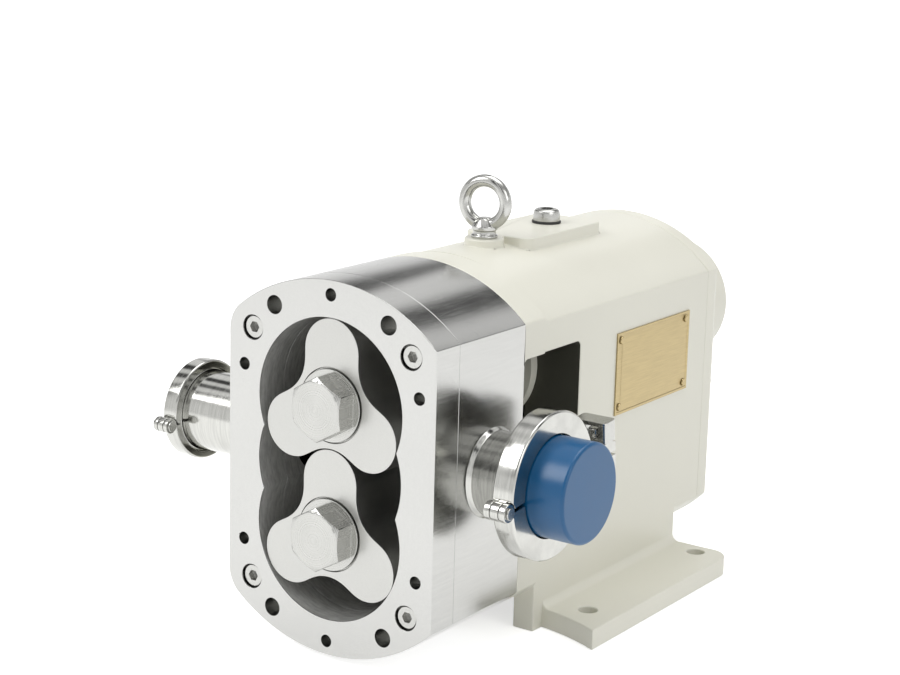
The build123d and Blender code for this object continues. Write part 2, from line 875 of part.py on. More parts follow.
with BuildPart() as gearbox_housing:
    with BuildSketch(across(case_back)):
        head_outline()
    extrude(amount=-flange_depth)
    round_left_corners(case_back)
    with BuildSketch(across(flange_back)):
        arched_outline(gearbox_width, gearbox_flat, gearbox_height)
    extrude(amount=flange_back - barrel_back)
    # Pedestal walls and feet
    for side in (1, -1):
        with BuildSketch(Plane.XY):
            with Locations((side * (wall_x - pedestal_wall / 2), (foot_back_y + flange_back) / 2)):
                Rectangle(pedestal_wall, foot_back_y - flange_back)
        extrude(amount=axis_height - gearbox_flat / 2 + pedestal_lap)
        with BuildSketch(Plane.XY):
            foot_outline(side)
        extrude(amount=foot_thickness)
    foot_roots = [
        edge
        for edge in edges().filter_by(Axis.Y)
        if abs(abs(edge.center().X) - wall_x) < same_place
        and abs(edge.center().Z - foot_thickness) < same_place
    ]
    fillet(foot_roots, pedestal_fillet)
    with BuildSketch(Plane.XY):
        with GridLocations(foot_span, foot_rows, 2, 2):
            Circle(foot_hole_radius)
    extrude(amount=foot_thickness, mode=Mode.SUBTRACT)
    # Top pad with the bosses of the eye bolt and the filler
    with BuildSketch(Plane.XY.offset(axis_height + gearbox_flat / 2)):
        with Locations((0, head_front + (pad_front + pad_back) / 2)):
            RectangleRounded(pad_width, pad_back - pad_front, pad_corner)
        with Locations((0, eye_y)):
            Circle(eye_boss_radius)
        with Locations((0, (eye_y + head_front + pad_front + pad_corner) / 2)):
            Rectangle(eye_boss_radius, head_front + pad_front + pad_corner - eye_y)
    extrude(amount=pad_top - axis_height - gearbox_flat / 2)
    with BuildSketch(Plane.XY.offset(pad_top)):
        with Locations((0, eye_y)):
            Circle(eye_thread_radius + seat_gap)
    extrude(amount=-eye_thread_length - thread_spare, mode=Mode.SUBTRACT)
    # Lantern window, right through from side to side and open to the rotor case
    with BuildSketch(Plane.YZ.offset(-head_width)):
        with Locations(((case_back + window_back) / 2, axis_height)):
            Rectangle(window_length, window_height)
        window_corners = vertices().sort_by(Axis.Y)[-2:]
        fillet(window_corners, window_corner)
    extrude(amount=2 * head_width, mode=Mode.SUBTRACT)
    # Cored round the shafts, for the seals and the bearing cover
    for height in shaft_heights.values():
        sleeve(height, cover_lobe_radius + core_gap, 0, case_back, window_back, Mode.SUBTRACT)
    # Gear chamber, open to the rear cover
    with BuildSketch(across(window_back + bearing_wall)):
        arched_outline(
            gearbox_width - 2 * gearbox_wall, gearbox_flat - gearbox_wall, gearbox_height - 2 * gearbox_wall
        )
    extrude(amount=window_back + bearing_wall - barrel_back, mode=Mode.SUBTRACT)
    for height in shaft_heights.values():
        sleeve(
            height, bearing_radius + seat_gap, 0, window_back,
            bearing_front + bearing_width + bearing_end_gap, Mode.SUBTRACT,
        )
        sleeve(height, bearing_land, 0, window_back, window_back + bearing_wall, Mode.SUBTRACT)
    # Tapped holes
    round_holes(case_back, case_screws_at, m8_radius + seat_gap, case_screw_grip + thread_spare)
    round_holes(window_back, cover_screws_at, m6_radius + seat_gap, cover_screw_grip + thread_spare)
    round_holes(
        barrel_back - rear_screw_grip - thread_spare, rear_screws_at, m6_radius + seat_gap,
        rear_screw_grip + thread_spare,
    )
    with BuildSketch(Plane.XY.offset(pad_top)):
        with Locations((0, filler_y)):
            Circle(filler_thread_radius + seat_gap)
    extrude(amount=-filler_hole_depth, mode=Mode.SUBTRACT)
    with BuildSketch(Plane(origin=(-wall_x, glass_y, glass_z), z_dir=(-1, 0, 0))):
        Circle(glass_thread_radius + seat_gap)
    extrude(amount=-gearbox_wall - cut_spare, mode=Mode.SUBTRACT)
save(gearbox_housing.part, "gearbox_housing")


# ---------------------------------------------------------------- rear cover

drain_place = (0, -drain_drop)
rear_screw_seat = cover_back - m6_head - head_sink

with BuildPart() as rear_cover:
    with BuildSketch(across(barrel_back)):
        arched_outline(gearbox_width, gearbox_flat, gearbox_height)
    extrude(amount=-cover_depth)
    fillet(faces().sort_by(Axis.Y)[-1].edges(), cover_edge)
    for height in shaft_heights.values():
        sleeve(height, cover_boss_radius, 0, barrel_back - cover_boss_depth, barrel_back)
        sleeve(
            height, bearing_radius + seat_gap, 0, barrel_back - cover_boss_depth,
            rear_bearing_back + bearing_end_gap, Mode.SUBTRACT,
        )
        sleeve(
            height, bearing_land - rear_land_step, 0, rear_bearing_back,
            rear_bearing_back + rear_land_depth, Mode.SUBTRACT,
        )
    sleeve(shaft_gap / 2, drive_boss_radius, 0, cover_back - cover_edge, boss_end)
    boss_rim = [
        edge
        for edge in edges().filter_by(GeomType.CIRCLE)
        if abs(edge.center().Y - boss_end) < same_place
        and abs(edge.radius - drive_boss_radius) < same_place
    ]
    fillet(boss_rim, drive_boss_edge)
    sleeve(shaft_gap / 2, drive_lip_radius, 0, rear_bearing_back, boss_end, Mode.SUBTRACT)
    round_holes(barrel_back, rear_screws_at, m6_radius + clear_hole, cover_depth)
    round_holes(rear_screw_seat, rear_screws_at, m6_head_radius + counterbore_gap / 2, m6_head + head_sink)
    round_holes(barrel_back, [drain_place], drain_thread_radius + seat_gap, cover_depth)
save(rear_cover.part, "rear_cover")


def rear_facing(station):
    """Plane across the pump seen from the drive end."""
    return Plane(origin=(0, station, axis_height), x_dir=(-1, 0, 0), z_dir=(0, 1, 0))


with BuildPart() as rear_cover_screws:
    with BuildSketch(rear_facing(rear_screw_seat)):
        with Locations(*rear_screws_at):
            Circle(m6_radius)
    extrude(amount=barrel_back - rear_screw_grip - rear_screw_seat)
    with BuildSketch(rear_facing(rear_screw_seat)):
        with Locations(*rear_screws_at):
            Circle(m6_head_radius)
    extrude(amount=m6_head)
    with BuildSketch(rear_facing(rear_screw_seat + m6_head)):
        with Locations(*rear_screws_at):
            RegularPolygon(m6_socket / 2, 6, major_radius=False)
    extrude(amount=-m6_head / 2, mode=Mode.SUBTRACT)
save(rear_cover_screws.part, "rear_cover_screws")

with BuildPart() as drain_plug:
    with BuildSketch(rear_facing(cover_back)):
        with Locations(drain_place):
            Circle(drain_flange_radius)
    extrude(amount=drain_flange)
    with BuildSketch(rear_facing(cover_back + drain_flange)):
        with Locations(drain_place):
            RegularPolygon(drain_flats / 2, 6, major_radius=False)
    extrude(amount=drain_head)
    with BuildSketch(rear_facing(cover_back)):
        with Locations(drain_place):
            Circle(drain_thread_radius)
    extrude(amount=-drain_thread_length)
save(drain_plug.part, "drain_plug")

glass_plane = Plane(origin=(-wall_x, glass_y, glass_z), z_dir=(-1, 0, 0))
with BuildPart() as sight_glass_ring:
    with BuildSketch(glass_plane):
        Circle(glass_radius)
    extrude(amount=glass_flange)
    with BuildSketch(glass_plane):
        Circle(glass_thread_radius)
    extrude(amount=-gearbox_wall + glass_thread_short)
    with BuildSketch(glass_plane.offset(glass_flange)):
        Circle(lens_radius + seat_gap)
    extrude(amount=-lens_thickness - lens_inset, mode=Mode.SUBTRACT)
    with BuildSketch(glass_plane.offset(glass_flange)):
        Circle(lens_radius - lens_seat)
    extrude(amount=-glass_flange - gearbox_wall, mode=Mode.SUBTRACT)
save(sight_glass_ring.part, "sight_glass_ring")

with BuildPart() as sight_glass_lens:
    with BuildSketch(glass_plane.offset(glass_flange - lens_inset)):
        Circle(lens_radius)
    extrude(amount=-lens_thickness)
save(sight_glass_lens.part, "sight_glass_lens")


# ---------------------------------------------------------------- eye bolt and filler plug

with BuildPart() as eye_bolt:
    ring_z = pad_top + eye_collar + eye_ring_radius + eye_wire_radius
    ring_turn = radians(eye_turn)
    ring_plane = Plane(origin=(0, eye_y, ring_z), z_dir=(sin(ring_turn), -cos(ring_turn), 0))
    with BuildSketch(Plane.XY.offset(pad_top)):
        with Locations((0, eye_y)):
            Circle(eye_collar_radius)
    extrude(amount=eye_collar)
    with BuildSketch(Plane.XY.offset(pad_top + eye_collar)):
        with Locations((0, eye_y)):
            Circle(eye_neck_radius)
    extrude(amount=eye_wire_radius)
    with BuildSketch(Plane.XY.offset(pad_top)):
        with Locations((0, eye_y)):
            Circle(eye_thread_radius)
    extrude(amount=-eye_thread_length)
    with Locations(ring_plane):
        Torus(eye_ring_radius, eye_wire_radius)
save(eye_bolt.part, "eye_bolt")

with BuildPart() as filler_seal:
    with BuildSketch(Plane.XY.offset(pad_top)):
        with Locations((0, filler_y)):
            Circle(filler_seal_radius)
            Circle(filler_thread_radius + running_gap, mode=Mode.SUBTRACT)
    extrude(amount=filler_seal_height)
save(filler_seal.part, "filler_seal")

with BuildPart() as filler_plug:
    with BuildSketch(Plane.XY.offset(pad_top + filler_seal_height)):
        with Locations((0, filler_y)):
            Circle(filler_radius)
    extrude(amount=filler_height)
    chamfer(faces().sort_by(Axis.Z)[-1].edges(), filler_chamfer)
    with BuildSketch(Plane.XY.offset(pad_top + filler_seal_height + filler_height)):
        with Locations((0, filler_y)):
            RegularPolygon(filler_socket / 2, 6, major_radius=False)
    extrude(amount=-filler_socket_depth, mode=Mode.SUBTRACT)
    with BuildSketch(Plane.XY.offset(pad_top + filler_seal_height)):
        with Locations((0, filler_y)):
            Circle(filler_thread_radius)
    extrude(amount=-filler_thread_length)
save(filler_plug.part, "filler_plug")


# ---------------------------------------------------------------- nameplate

plate_y = head_front + plate_front + plate_length / 2
plate_z = axis_height + plate_base + plate_height / 2

with BuildPart() as nameplate:
    with BuildSketch(Plane(origin=(wall_x, plate_y, plate_z), x_dir=(0, 1, 0), z_dir=(1, 0, 0))):
        RectangleRounded(plate_length, plate_height, plate_corner)
        with GridLocations(plate_length - 2 * rivet_inset, plate_height - 2 * rivet_inset, 2, 2):
            Circle(rivet_radius + seat_gap, mode=Mode.SUBTRACT)
    extrude(amount=plate_thickness)
save(nameplate.part, "nameplate")

with BuildPart() as nameplate_rivets:
    with BuildSketch(Plane(origin=(wall_x, plate_y, plate_z), x_dir=(0, 1, 0), z_dir=(1, 0, 0))):
        with GridLocations(plate_length - 2 * rivet_inset, plate_height - 2 * rivet_inset, 2, 2):
            Circle(rivet_radius)
    extrude(amount=plate_thickness)
    with BuildSketch(
        Plane(origin=(wall_x + plate_thickness, plate_y, plate_z), x_dir=(0, 1, 0), z_dir=(1, 0, 0))
    ):
        with GridLocations(plate_length - 2 * rivet_inset, plate_height - 2 * rivet_inset, 2, 2):
            Circle(rivet_radius + rivet_lip)
    extrude(amount=rivet_head, taper=rivet_taper)
save(nameplate_rivets.part, "nameplate_rivets")


# ---------------------------------------------------------------- ports, clamps and caps


right_outlet, left_outlet = (
    SimpleNamespace(name=name, middle=sizes["reach"] + clamp_offset, **sizes)
    for name, sizes in outlet_sizes.items()
)


def port_plane(side):
    """Plane through a port axis: local x runs outwards along it and local y is the radius."""
    return Plane(origin=(0, port_y, axis_height), x_dir=(side, 0, 0), z_dir=(0, 0, side))


def port_axis(side):
    return Axis((0, port_y, axis_height), (side, 0, 0))


def clamp_plane(x):
    """Plane square to a port axis: local x points along the split to the closing ear."""
    rise = radians(clamp_angle)
    return Plane(origin=(x, port_y, axis_height), x_dir=(0, cos(rise), sin(rise)), z_dir=(1, 0, 0))


def build_port(outlet):
    neck = tube_radius + outlet.neck
    rim_back = outlet.reach - ferrule_rim
    neck_back = rim_back - (outlet.ferrule - neck) * tan(clamp_taper)
    bore = tube_radius - tube_wall
    root = head_width / 2
    with BuildPart() as port:
        with BuildSketch(port_plane(outlet.side)):
            with BuildLine():
                Polyline(
                    (root, bore), (root, tube_radius + weld_rise), (root + weld_run, tube_radius),
                    (neck_back - outlet.neck - neck_run, tube_radius), (neck_back, neck),
                    (rim_back, outlet.ferrule), (outlet.reach, outlet.ferrule), (outlet.reach, bore),
                    close=True,
                )
            make_face()
        revolve(axis=port_axis(outlet.side))
    return port.part


def clamp_ring(outlet):
    """Whole clamp ring with its tapered groove, before it is split."""
    half = outlet.width / 2
    groove = outlet.ferrule + groove_clearance
    groove_half = clamp_offset + ferrule_rim + face_gap - (groove - outlet.ferrule) * tan(clamp_taper)
    lip_half = groove_half + (groove - outlet.bore) * tan(clamp_taper)
    with BuildSketch(port_plane(outlet.side)) as section:
        with BuildLine():
            Polyline(
                (outlet.middle - half, outlet.bore), (outlet.middle - half, outlet.ring - clamp_edge),
                (outlet.middle - half + clamp_edge, outlet.ring),
                (outlet.middle + half - clamp_edge, outlet.ring),
                (outlet.middle + half, outlet.ring - clamp_edge), (outlet.middle + half, outlet.bore),
                (outlet.middle + lip_half, outlet.bore), (outlet.middle + groove_half, groove),
                (outlet.middle - groove_half, groove), (outlet.middle - lip_half, outlet.bore),
                close=True,
            )
        make_face()
    revolve(section.sketch, axis=port_axis(outlet.side))


def slab(x, width, draw, mode=Mode.ADD):
    """A block of a given width across the clamp, from a profile drawn on its plane."""
    with BuildSketch(clamp_plane(x - width / 2)) as profile:
        draw()
    extrude(profile.sketch, amount=width, mode=mode)


def half_plane(outlet, upper):
    """The space on one side of the split."""
    size = 2 * (outlet.ear + outlet.hinge)
    middle = (size + clamp_split) / 2
    with Locations((0, middle if upper else -middle)):
        Rectangle(2 * size, size)


def knuckle(outlet, radius):
    with Locations((-outlet.hinge, 0)):
        Circle(radius)


def pivot_at(outlet, radius):
    with Locations((outlet.pivot, -pivot_drop)):
        Circle(radius)


def ear_slot_space(outlet, top, bottom):
    """The slot that the swing bolt drops into, open outwards."""
    inner = outlet.pivot - swing_eye_radius - eye_clearance
    outer = outlet.ear + ear_slot_spare
    with Locations(((inner + outer) / 2, (top + bottom) / 2)):
        Rectangle(outer - inner, top - bottom)


def upper_ear(outlet):
    """Flat over the ring side, and round about the bolt pivot beyond the bolt."""
    start = outlet.ferrule + groove_clearance + ear_root
    split = clamp_split / 2
    span = outlet.ear - outlet.pivot
    end_top = sqrt(ear_seat**2 - span**2) - pivot_drop
    middle = span / 2
    middle_top = sqrt(ear_seat**2 - middle**2) - pivot_drop
    with BuildLine() as outline:
        Polyline((start, ear_top), (start, split), (outlet.ear, split), (outlet.ear, end_top))
        ThreePointArc(
            (outlet.ear, end_top), (outlet.pivot + middle, middle_top), (outlet.pivot, ear_top)
        )
        Line((outlet.pivot, ear_top), (start, ear_top))
    make_face(outline.edges())


def lower_ear(outlet):
    start = outlet.ferrule + groove_clearance + ear_root
    split = -clamp_split / 2
    with BuildLine() as outline:
        Polyline(
            (start, split), (outlet.ear, split), (outlet.ear, -ear_bottom + ear_corner),
            (outlet.ear - ear_corner, -ear_bottom), (start, -ear_bottom), close=True,
        )
    make_face(outline.edges())


def build_clamp_half(outlet, upper):
    """One half of a clamp. The lower half is the fixed one and has the outer hinge knuckles."""
    x = outlet.side * outlet.middle
    side_offset = (outlet.knuckle_width + outlet.width) / 4 + link_play
    side_width = (outlet.width - outlet.knuckle_width) / 2 - 2 * link_play

    def barrel():
        knuckle(outlet, outlet.knuckle)

    def barrel_space():
        knuckle(outlet, outlet.knuckle + knuckle_clearance)

    with BuildPart() as half:
        clamp_ring(outlet)
        slab(x, outlet.width + cut_spare, lambda: half_plane(outlet, upper), Mode.INTERSECT)
        slab(x, ear_width, lambda: upper_ear(outlet) if upper else lower_ear(outlet))
        if upper:
            slab(x, ear_slot, lambda: ear_slot_space(outlet, ear_top + ear_slot_spare, 0), Mode.SUBTRACT)
            slab(x - side_offset, side_width + 2 * link_gap, barrel_space, Mode.SUBTRACT)
            slab(x + side_offset, side_width + 2 * link_gap, barrel_space, Mode.SUBTRACT)
            slab(x, outlet.knuckle_width - 2 * link_play, barrel)
        else:
            slab(x, ear_slot, lambda: ear_slot_space(outlet, 0, -ear_bottom - ear_slot_spare), Mode.SUBTRACT)
            slab(x, outlet.knuckle_width + 2 * link_gap, barrel_space, Mode.SUBTRACT)
            slab(x - side_offset, side_width, barrel)
            slab(x + side_offset, side_width, barrel)
            slab(x, ear_width + cut_spare, lambda: pivot_at(outlet, pivot_radius + seat_gap), Mode.SUBTRACT)
        slab(x, outlet.width + cut_spare, lambda: knuckle(outlet, hinge_radius + running_gap), Mode.SUBTRACT)
    return half.part


def build_hinge_pin(outlet):
    x = outlet.side * outlet.middle
    with BuildPart() as pin:
        slab(x, outlet.width + 2 * link_play, lambda: knuckle(outlet, hinge_radius))
        for end in (-1, 1):
            place = x + end * (outlet.width / 2 + link_play + hinge_head / 2)
            slab(place, hinge_head, lambda: knuckle(outlet, hinge_radius + hinge_head_lip))
    return pin.part


def build_pivot_pin(outlet):
    with BuildPart() as pin:
        slab(outlet.side * outlet.middle, ear_width, lambda: pivot_at(outlet, pivot_radius))
    return pin.part


def build_swing_bolt(outlet):
    """Eye round the pivot pin and a shank up into the nut's window."""
    x = outlet.side * outlet.middle
    top = ear_top + nut_swing_gap + nut_base + swing_stand
    clamp = clamp_plane(x)
    pivot = clamp.from_local_coords((outlet.pivot, -pivot_drop, 0))
    with BuildPart() as bolt:
        slab(x, swing_eye_width, lambda: pivot_at(outlet, swing_eye_radius))
        with BuildSketch(Plane(pivot, x_dir=(1, 0, 0), z_dir=clamp.y_dir)):
            Circle(swing_radius)
        extrude(amount=top + pivot_drop)
        along_shank = Axis(clamp.origin, clamp.y_dir)
        chamfer(bolt.edges().filter_by(GeomType.CIRCLE).sort_by(along_shank)[-1], swing_chamfer)
        bore_width = swing_eye_width + cut_spare
        slab(x, bore_width, lambda: pivot_at(outlet, pivot_radius + running_gap), Mode.SUBTRACT)
    return bolt.part


def build_nut(outlet):
    """Bow nut: a threaded base with a bow over the end of the bolt."""
    x = outlet.side * outlet.middle
    base = ear_top + nut_swing_gap
    middle = clamp_plane(x)
    seat = middle.from_local_coords((outlet.pivot, base, 0))

    def block():
        with Locations((outlet.pivot, base + nut_height / 2)):
            Rectangle(nut_depth, nut_height)

    def window():
        height = nut_height - nut_base - nut_bar
        with Locations((outlet.pivot, base + nut_base + height / 2)):
            Rectangle(nut_depth + cut_spare, height)

    with BuildPart() as nut:
        slab(x, nut_width, block)
        upright = nut.edges().filter_by(Axis(middle.origin, middle.y_dir))
        fillet(upright, nut_corner)
        slab(x, nut_window, window, Mode.SUBTRACT)
        with BuildSketch(Plane(seat, x_dir=(1, 0, 0), z_dir=middle.y_dir)):
            Circle(swing_radius + running_gap)
        extrude(amount=nut_base, mode=Mode.SUBTRACT)
    return nut.part


def build_cap(outlet):
    """Hollow push-in cap: a spigot in the ferrule's bore under a wide closed body."""
    start = outlet.reach + face_gap
    spigot = tube_radius - tube_wall - cap_spigot_gap
    inner = spigot - cap_wall
    cap_end = outlet.reach + outlet.cap_length
    hollow_end = cap_end - cap_wall
    with BuildPart() as cap:
        with BuildSketch(port_plane(outlet.side)):
            with BuildLine():
                Polyline(
                    (start - cap_spigot, inner), (start - cap_spigot, spigot - cap_lead),
                    (start - cap_spigot + cap_lead, spigot), (start, spigot), (start, outlet.cap),
                    (cap_end - cap_edge, outlet.cap),
                )
                ThreePointArc(
                    (cap_end - cap_edge, outlet.cap),
                    (cap_end - cap_edge * (1 - sqrt(0.5)), outlet.cap - cap_edge * (1 - sqrt(0.5))),
                    (cap_end, outlet.cap - cap_edge),
                )
                Polyline(
                    (cap_end, outlet.cap - cap_edge), (cap_end, 0), (hollow_end, 0),
                    (hollow_end, outlet.cap - cap_wall), (start + cap_wall, outlet.cap - cap_wall),
                    (start + cap_wall, inner), (start - cap_spigot, inner),
                )
            make_face()
        revolve(axis=port_axis(outlet.side))
    return cap.part


for outlet in (right_outlet, left_outlet):
    save(build_port(outlet), f"{outlet.name}_port")
    save(build_clamp_half(outlet, upper=False), f"{outlet.name}_clamp_fixed_half")
    save(build_clamp_half(outlet, upper=True), f"{outlet.name}_clamp_moving_half")
    save(build_hinge_pin(outlet), f"{outlet.name}_clamp_hinge_pin")
    save(build_pivot_pin(outlet), f"{outlet.name}_clamp_bolt_pin")
    save(build_swing_bolt(outlet), f"{outlet.name}_clamp_bolt")
    save(build_nut(outlet), f"{outlet.name}_clamp_nut")
    save(build_cap(outlet), f"{outlet.name}_cap")
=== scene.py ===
"""Rotary lobe pump: finishes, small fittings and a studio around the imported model."""

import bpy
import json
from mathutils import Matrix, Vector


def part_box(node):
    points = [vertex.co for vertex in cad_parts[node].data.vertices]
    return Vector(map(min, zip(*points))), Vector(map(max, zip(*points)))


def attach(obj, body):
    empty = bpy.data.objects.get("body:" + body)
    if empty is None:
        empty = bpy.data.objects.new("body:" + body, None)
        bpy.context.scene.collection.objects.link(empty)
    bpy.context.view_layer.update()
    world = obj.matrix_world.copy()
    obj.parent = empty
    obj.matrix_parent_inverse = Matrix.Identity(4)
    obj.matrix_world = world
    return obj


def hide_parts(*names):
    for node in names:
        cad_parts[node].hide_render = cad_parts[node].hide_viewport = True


bl_info = {
    "name": "Rotary lobe pump",
    "version": (1, 0, 0),
    "blender": (4, 5, 0),
    "location": "View3D > Sidebar > Pump",
    "description": "Dresses the packed lobe pump and sets it in a plain studio",
    "category": "Object",
}

import json
from itertools import combinations
from math import cos, pi, radians, sin

import bpy
from bpy.props import FloatProperty, FloatVectorProperty, PointerProperty
from mathutils import Matrix, Vector

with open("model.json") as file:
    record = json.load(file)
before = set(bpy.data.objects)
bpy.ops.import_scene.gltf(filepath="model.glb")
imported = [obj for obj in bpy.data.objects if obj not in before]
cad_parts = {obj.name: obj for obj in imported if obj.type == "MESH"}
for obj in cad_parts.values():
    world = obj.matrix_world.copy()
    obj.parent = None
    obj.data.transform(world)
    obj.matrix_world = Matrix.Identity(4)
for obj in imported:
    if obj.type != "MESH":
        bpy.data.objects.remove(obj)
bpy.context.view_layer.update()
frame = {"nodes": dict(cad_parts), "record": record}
MM = 0.001
NARROWEST_CORNER = radians(20)
MERGE_DISTANCE = 2e-6
CENTRE_HEIGHT = sum(corner.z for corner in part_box("rotor_case")) / 2
LANTERN_HALF = 61 * MM
LANTERN_MARGIN = 0.5 * MM
SHAFTS_APART = 78 * MM
CHAMBER_REACH = 52.4 * MM
CHAMBER_FRONT = -207.4 * MM
CHAMBER_BACK = -120 * MM
EYE_WIRE = 3.9 * MM
EYE_RING = 14.0 * MM
EYE_TURN = radians(9)
FLOOR_SIZE = 80
FLOOR_DROP = 0.0002
FLOOR_GLOW = 0.62
CAMERA_PLACE = (0.7084, -1.1138, 0.4658)
CAMERA_TURN = radians(33.3)
CAMERA_RISE = radians(12.5)
CAMERA_ROLL = radians(1.8)
CAMERA_LENS = 82.46


# ---------------------------------------------------------------- settings


def colour(name, description, value):
    return FloatVectorProperty(
        name=name, description=description, subtype="COLOR", size=3, min=0.0, max=1.0, default=value
    )


def length(name, description, value):
    return FloatProperty(name=name, description=description, unit="LENGTH", min=0.0, default=value)


class PumpColours(bpy.types.PropertyGroup):
    """Base colours of the pump's finishes"""

    paint: colour("Paint", "Enamel of the gearbox", (0.74, 0.73, 0.64))
    head: colour("Head steel", "Ground outside of the pump head", (0.50, 0.50, 0.485))
    chamber: colour("Chamber steel", "Inside walls of the pump head", (0.56, 0.56, 0.54))
    rotor: colour("Rotor steel", "Milled rotors", (0.50, 0.50, 0.48))
    tube: colour("Tube steel", "Polished tubes, ferrules and clamps", (0.50, 0.50, 0.475))
    screw: colour("Screw steel", "Screws, pins and plugs", (0.48, 0.48, 0.46))
    cap: colour("Cap plastic", "Push-in caps of the ports", (0.002, 0.088, 0.230))
    plate: colour("Plate", "Brushed nameplate", (0.45, 0.36, 0.19))
    rubber: colour("Rubber", "Seals", (0.018, 0.018, 0.018))
    # The lantern colour is painted shade: near-black stands in for the shade inside the window between head
    # and gearbox.
    lantern: colour("Lantern painted shade", "Painted shade inside the lantern window", (0.050, 0.050, 0.036))


class PumpEdges(bpy.types.PropertyGroup):
    """How far the edges of the pieces are rounded"""

    casting: length("Casting edge", "Rounding of the painted casting's edges", 1.0 * MM)
    machined: length("Machined edge", "Broken edges of the machined steel", 0.45 * MM)
    fine: length("Fine edge", "Broken edges of small steel pieces", 0.25 * MM)


# ---------------------------------------------------------------- modelling


def only(*objects):
    """Selects these objects and nothing else."""
    if bpy.context.object and bpy.context.object.mode != "OBJECT":
        bpy.ops.object.mode_set(mode="OBJECT")
    bpy.ops.object.select_all(action="DESELECT")
    for obj in objects:
        obj.select_set(True)
    bpy.context.view_layer.objects.active = objects[-1] if objects else None


def edit(obj, mode="FACE"):
    """Opens an object for editing with all of it selected."""
    only(obj)
    bpy.ops.object.mode_set(mode="EDIT")
    bpy.ops.mesh.select_mode(type=mode)
    bpy.ops.mesh.select_all(action="SELECT")


def done():
    bpy.ops.object.mode_set(mode="OBJECT")


def place_applied(obj):
    only(obj)
    bpy.ops.object.transform_apply(location=True, rotation=True, scale=True)


def crowded_corners(mesh, sharp):
    """Points where two sharp edges leave nearly side by side, so that a rounding would run away."""
    ways = {}
    for edge in sharp:
        first, last = edge.vertices
        way = (mesh.vertices[last].co - mesh.vertices[first].co).normalized()
        ways.setdefault(first, []).append(way)
        ways.setdefault(last, []).append(-way)
    return {
        point
        for point, found in ways.items()
        if any(a.angle(b) < NARROWEST_CORNER for a, b in combinations(found, 2))
    }


def bevelled(obj, width, segments=2, angle=30):
    """Rounds the edges sharper than an angle."""
    edit(obj, "EDGE")
    bpy.ops.mesh.select_all(action="DESELECT")
    bpy.ops.mesh.edges_select_sharp(sharpness=radians(angle))
    done()
    sharp = [edge for edge in obj.data.edges if edge.select]
    crowded = crowded_corners(obj.data, sharp)
    weights = obj.data.attributes.new("bevel_weight_edge", "FLOAT", "EDGE")
    for edge in sharp:
        weights.data[edge.index].value = 0.0 if crowded.intersection(edge.vertices) else 1.0
    bevel = obj.modifiers.new("edges", "BEVEL")
    bevel.width = width
    bevel.segments = segments
    bevel.limit_method = "WEIGHT"
    bevel.use_clamp_overlap = False
    bevel.miter_outer = "MITER_ARC"
    bpy.ops.object.modifier_apply(modifier=bevel.name)


def smoothed(obj, angle=32):
    """Smooth shading that leaves the flats flat."""
    only(obj)
    bpy.ops.object.shade_smooth_by_angle(angle=radians(angle))
    weighted = obj.modifiers.new("flats", "WEIGHTED_NORMAL")
    weighted.keep_sharp = True
    weighted.weight = 80
    bpy.ops.object.modifier_apply(modifier=weighted.name)


def coated(obj, material):
    obj.data.materials.clear()
    obj.data.materials.append(material)


def merged_copy(node, name):
    """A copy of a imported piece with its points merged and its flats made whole."""
    only(frame["nodes"][node])
    bpy.ops.object.duplicate()
    piece = bpy.context.view_layer.objects.active
    piece.name = name
    for key in list(piece.keys()):
        del piece[key]
    edit(piece, "VERT")
    bpy.ops.mesh.remove_doubles(threshold=MERGE_DISTANCE)
    bpy.ops.mesh.dissolve_limited(angle_limit=radians(0.5))
    done()
    return piece


def body_of(node):
    return next(b for b, nodes in frame["record"]["behaviour"]["bodies"].items() if node in nodes)


def stands_for(piece, node):
    """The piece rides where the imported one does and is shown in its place."""
    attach(piece, body_of(node))
    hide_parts(node)


def dressed(node, material, edge, segments=2):
    """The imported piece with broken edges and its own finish."""
    piece = merged_copy(node, node + "_dressed")
    bevelled(piece, edge, segments)
    smoothed(piece)
    coated(piece, material)
    stands_for(piece, node)
    return piece


def turned(name, start, axis, profile, sides=96):
    """A round piece: a ring of points carried along a profile of (distance along the axis, radius)."""
    start, axis = Vector(start), Vector(axis).normalized()
    turn = Vector((0, 0, 1)).rotation_difference(axis).to_euler()
    only()
    distance, radius = profile[0]
    bpy.ops.mesh.primitive_circle_add(
        vertices=sides, radius=radius, fill_type="NGON",
        location=start + axis * distance, rotation=turn,
    )
    obj = bpy.context.view_layer.objects.active
    obj.name = name
    place_applied(obj)
    edit(obj)
    for (d0, r0), (d1, r1) in zip(profile, profile[1:]):
        step = {"value": tuple(axis * (d1 - d0))}
        bpy.ops.mesh.extrude_region_move(TRANSFORM_OT_translate=step)
        if abs(r1 - r0) > 1e-9:
            scale = r1 / r0
            bpy.ops.transform.resize(
                value=(scale, scale, scale), center_override=tuple(start + axis * d1)
            )
    bpy.ops.mesh.select_all(action="SELECT")
    bpy.ops.mesh.remove_doubles(threshold=1e-6)
    bpy.ops.mesh.normals_make_consistent(inside=False)
    done()
    return obj


def cut(obj, tool):
    """Takes the tool's shape out of the object, and removes the tool."""
    only(obj)
    boolean = obj.modifiers.new("cut", "BOOLEAN")
    boolean.operation = "DIFFERENCE"
    boolean.object = tool
    boolean.solver = "EXACT"
    bpy.ops.object.modifier_apply(modifier=boolean.name)
    bpy.data.objects.remove(tool)


def joined(objects, name):
    only(*objects)
    bpy.ops.object.join()
    obj = bpy.context.view_layer.objects.active
    obj.name = name
    return obj


# ---------------------------------------------------------------- shared surface effects


def new_group(name, inputs, outputs):
    group = bpy.data.node_groups.new(name, "ShaderNodeTree")
    for label, kind, value in inputs:
        socket = group.interface.new_socket(label, in_out="INPUT", socket_type=kind)
        if value is not None:
            socket.default_value = value
    for label, kind in outputs:
        group.interface.new_socket(label, in_out="OUTPUT", socket_type=kind)
    return group, group.nodes.new("NodeGroupInput"), group.nodes.new("NodeGroupOutput")


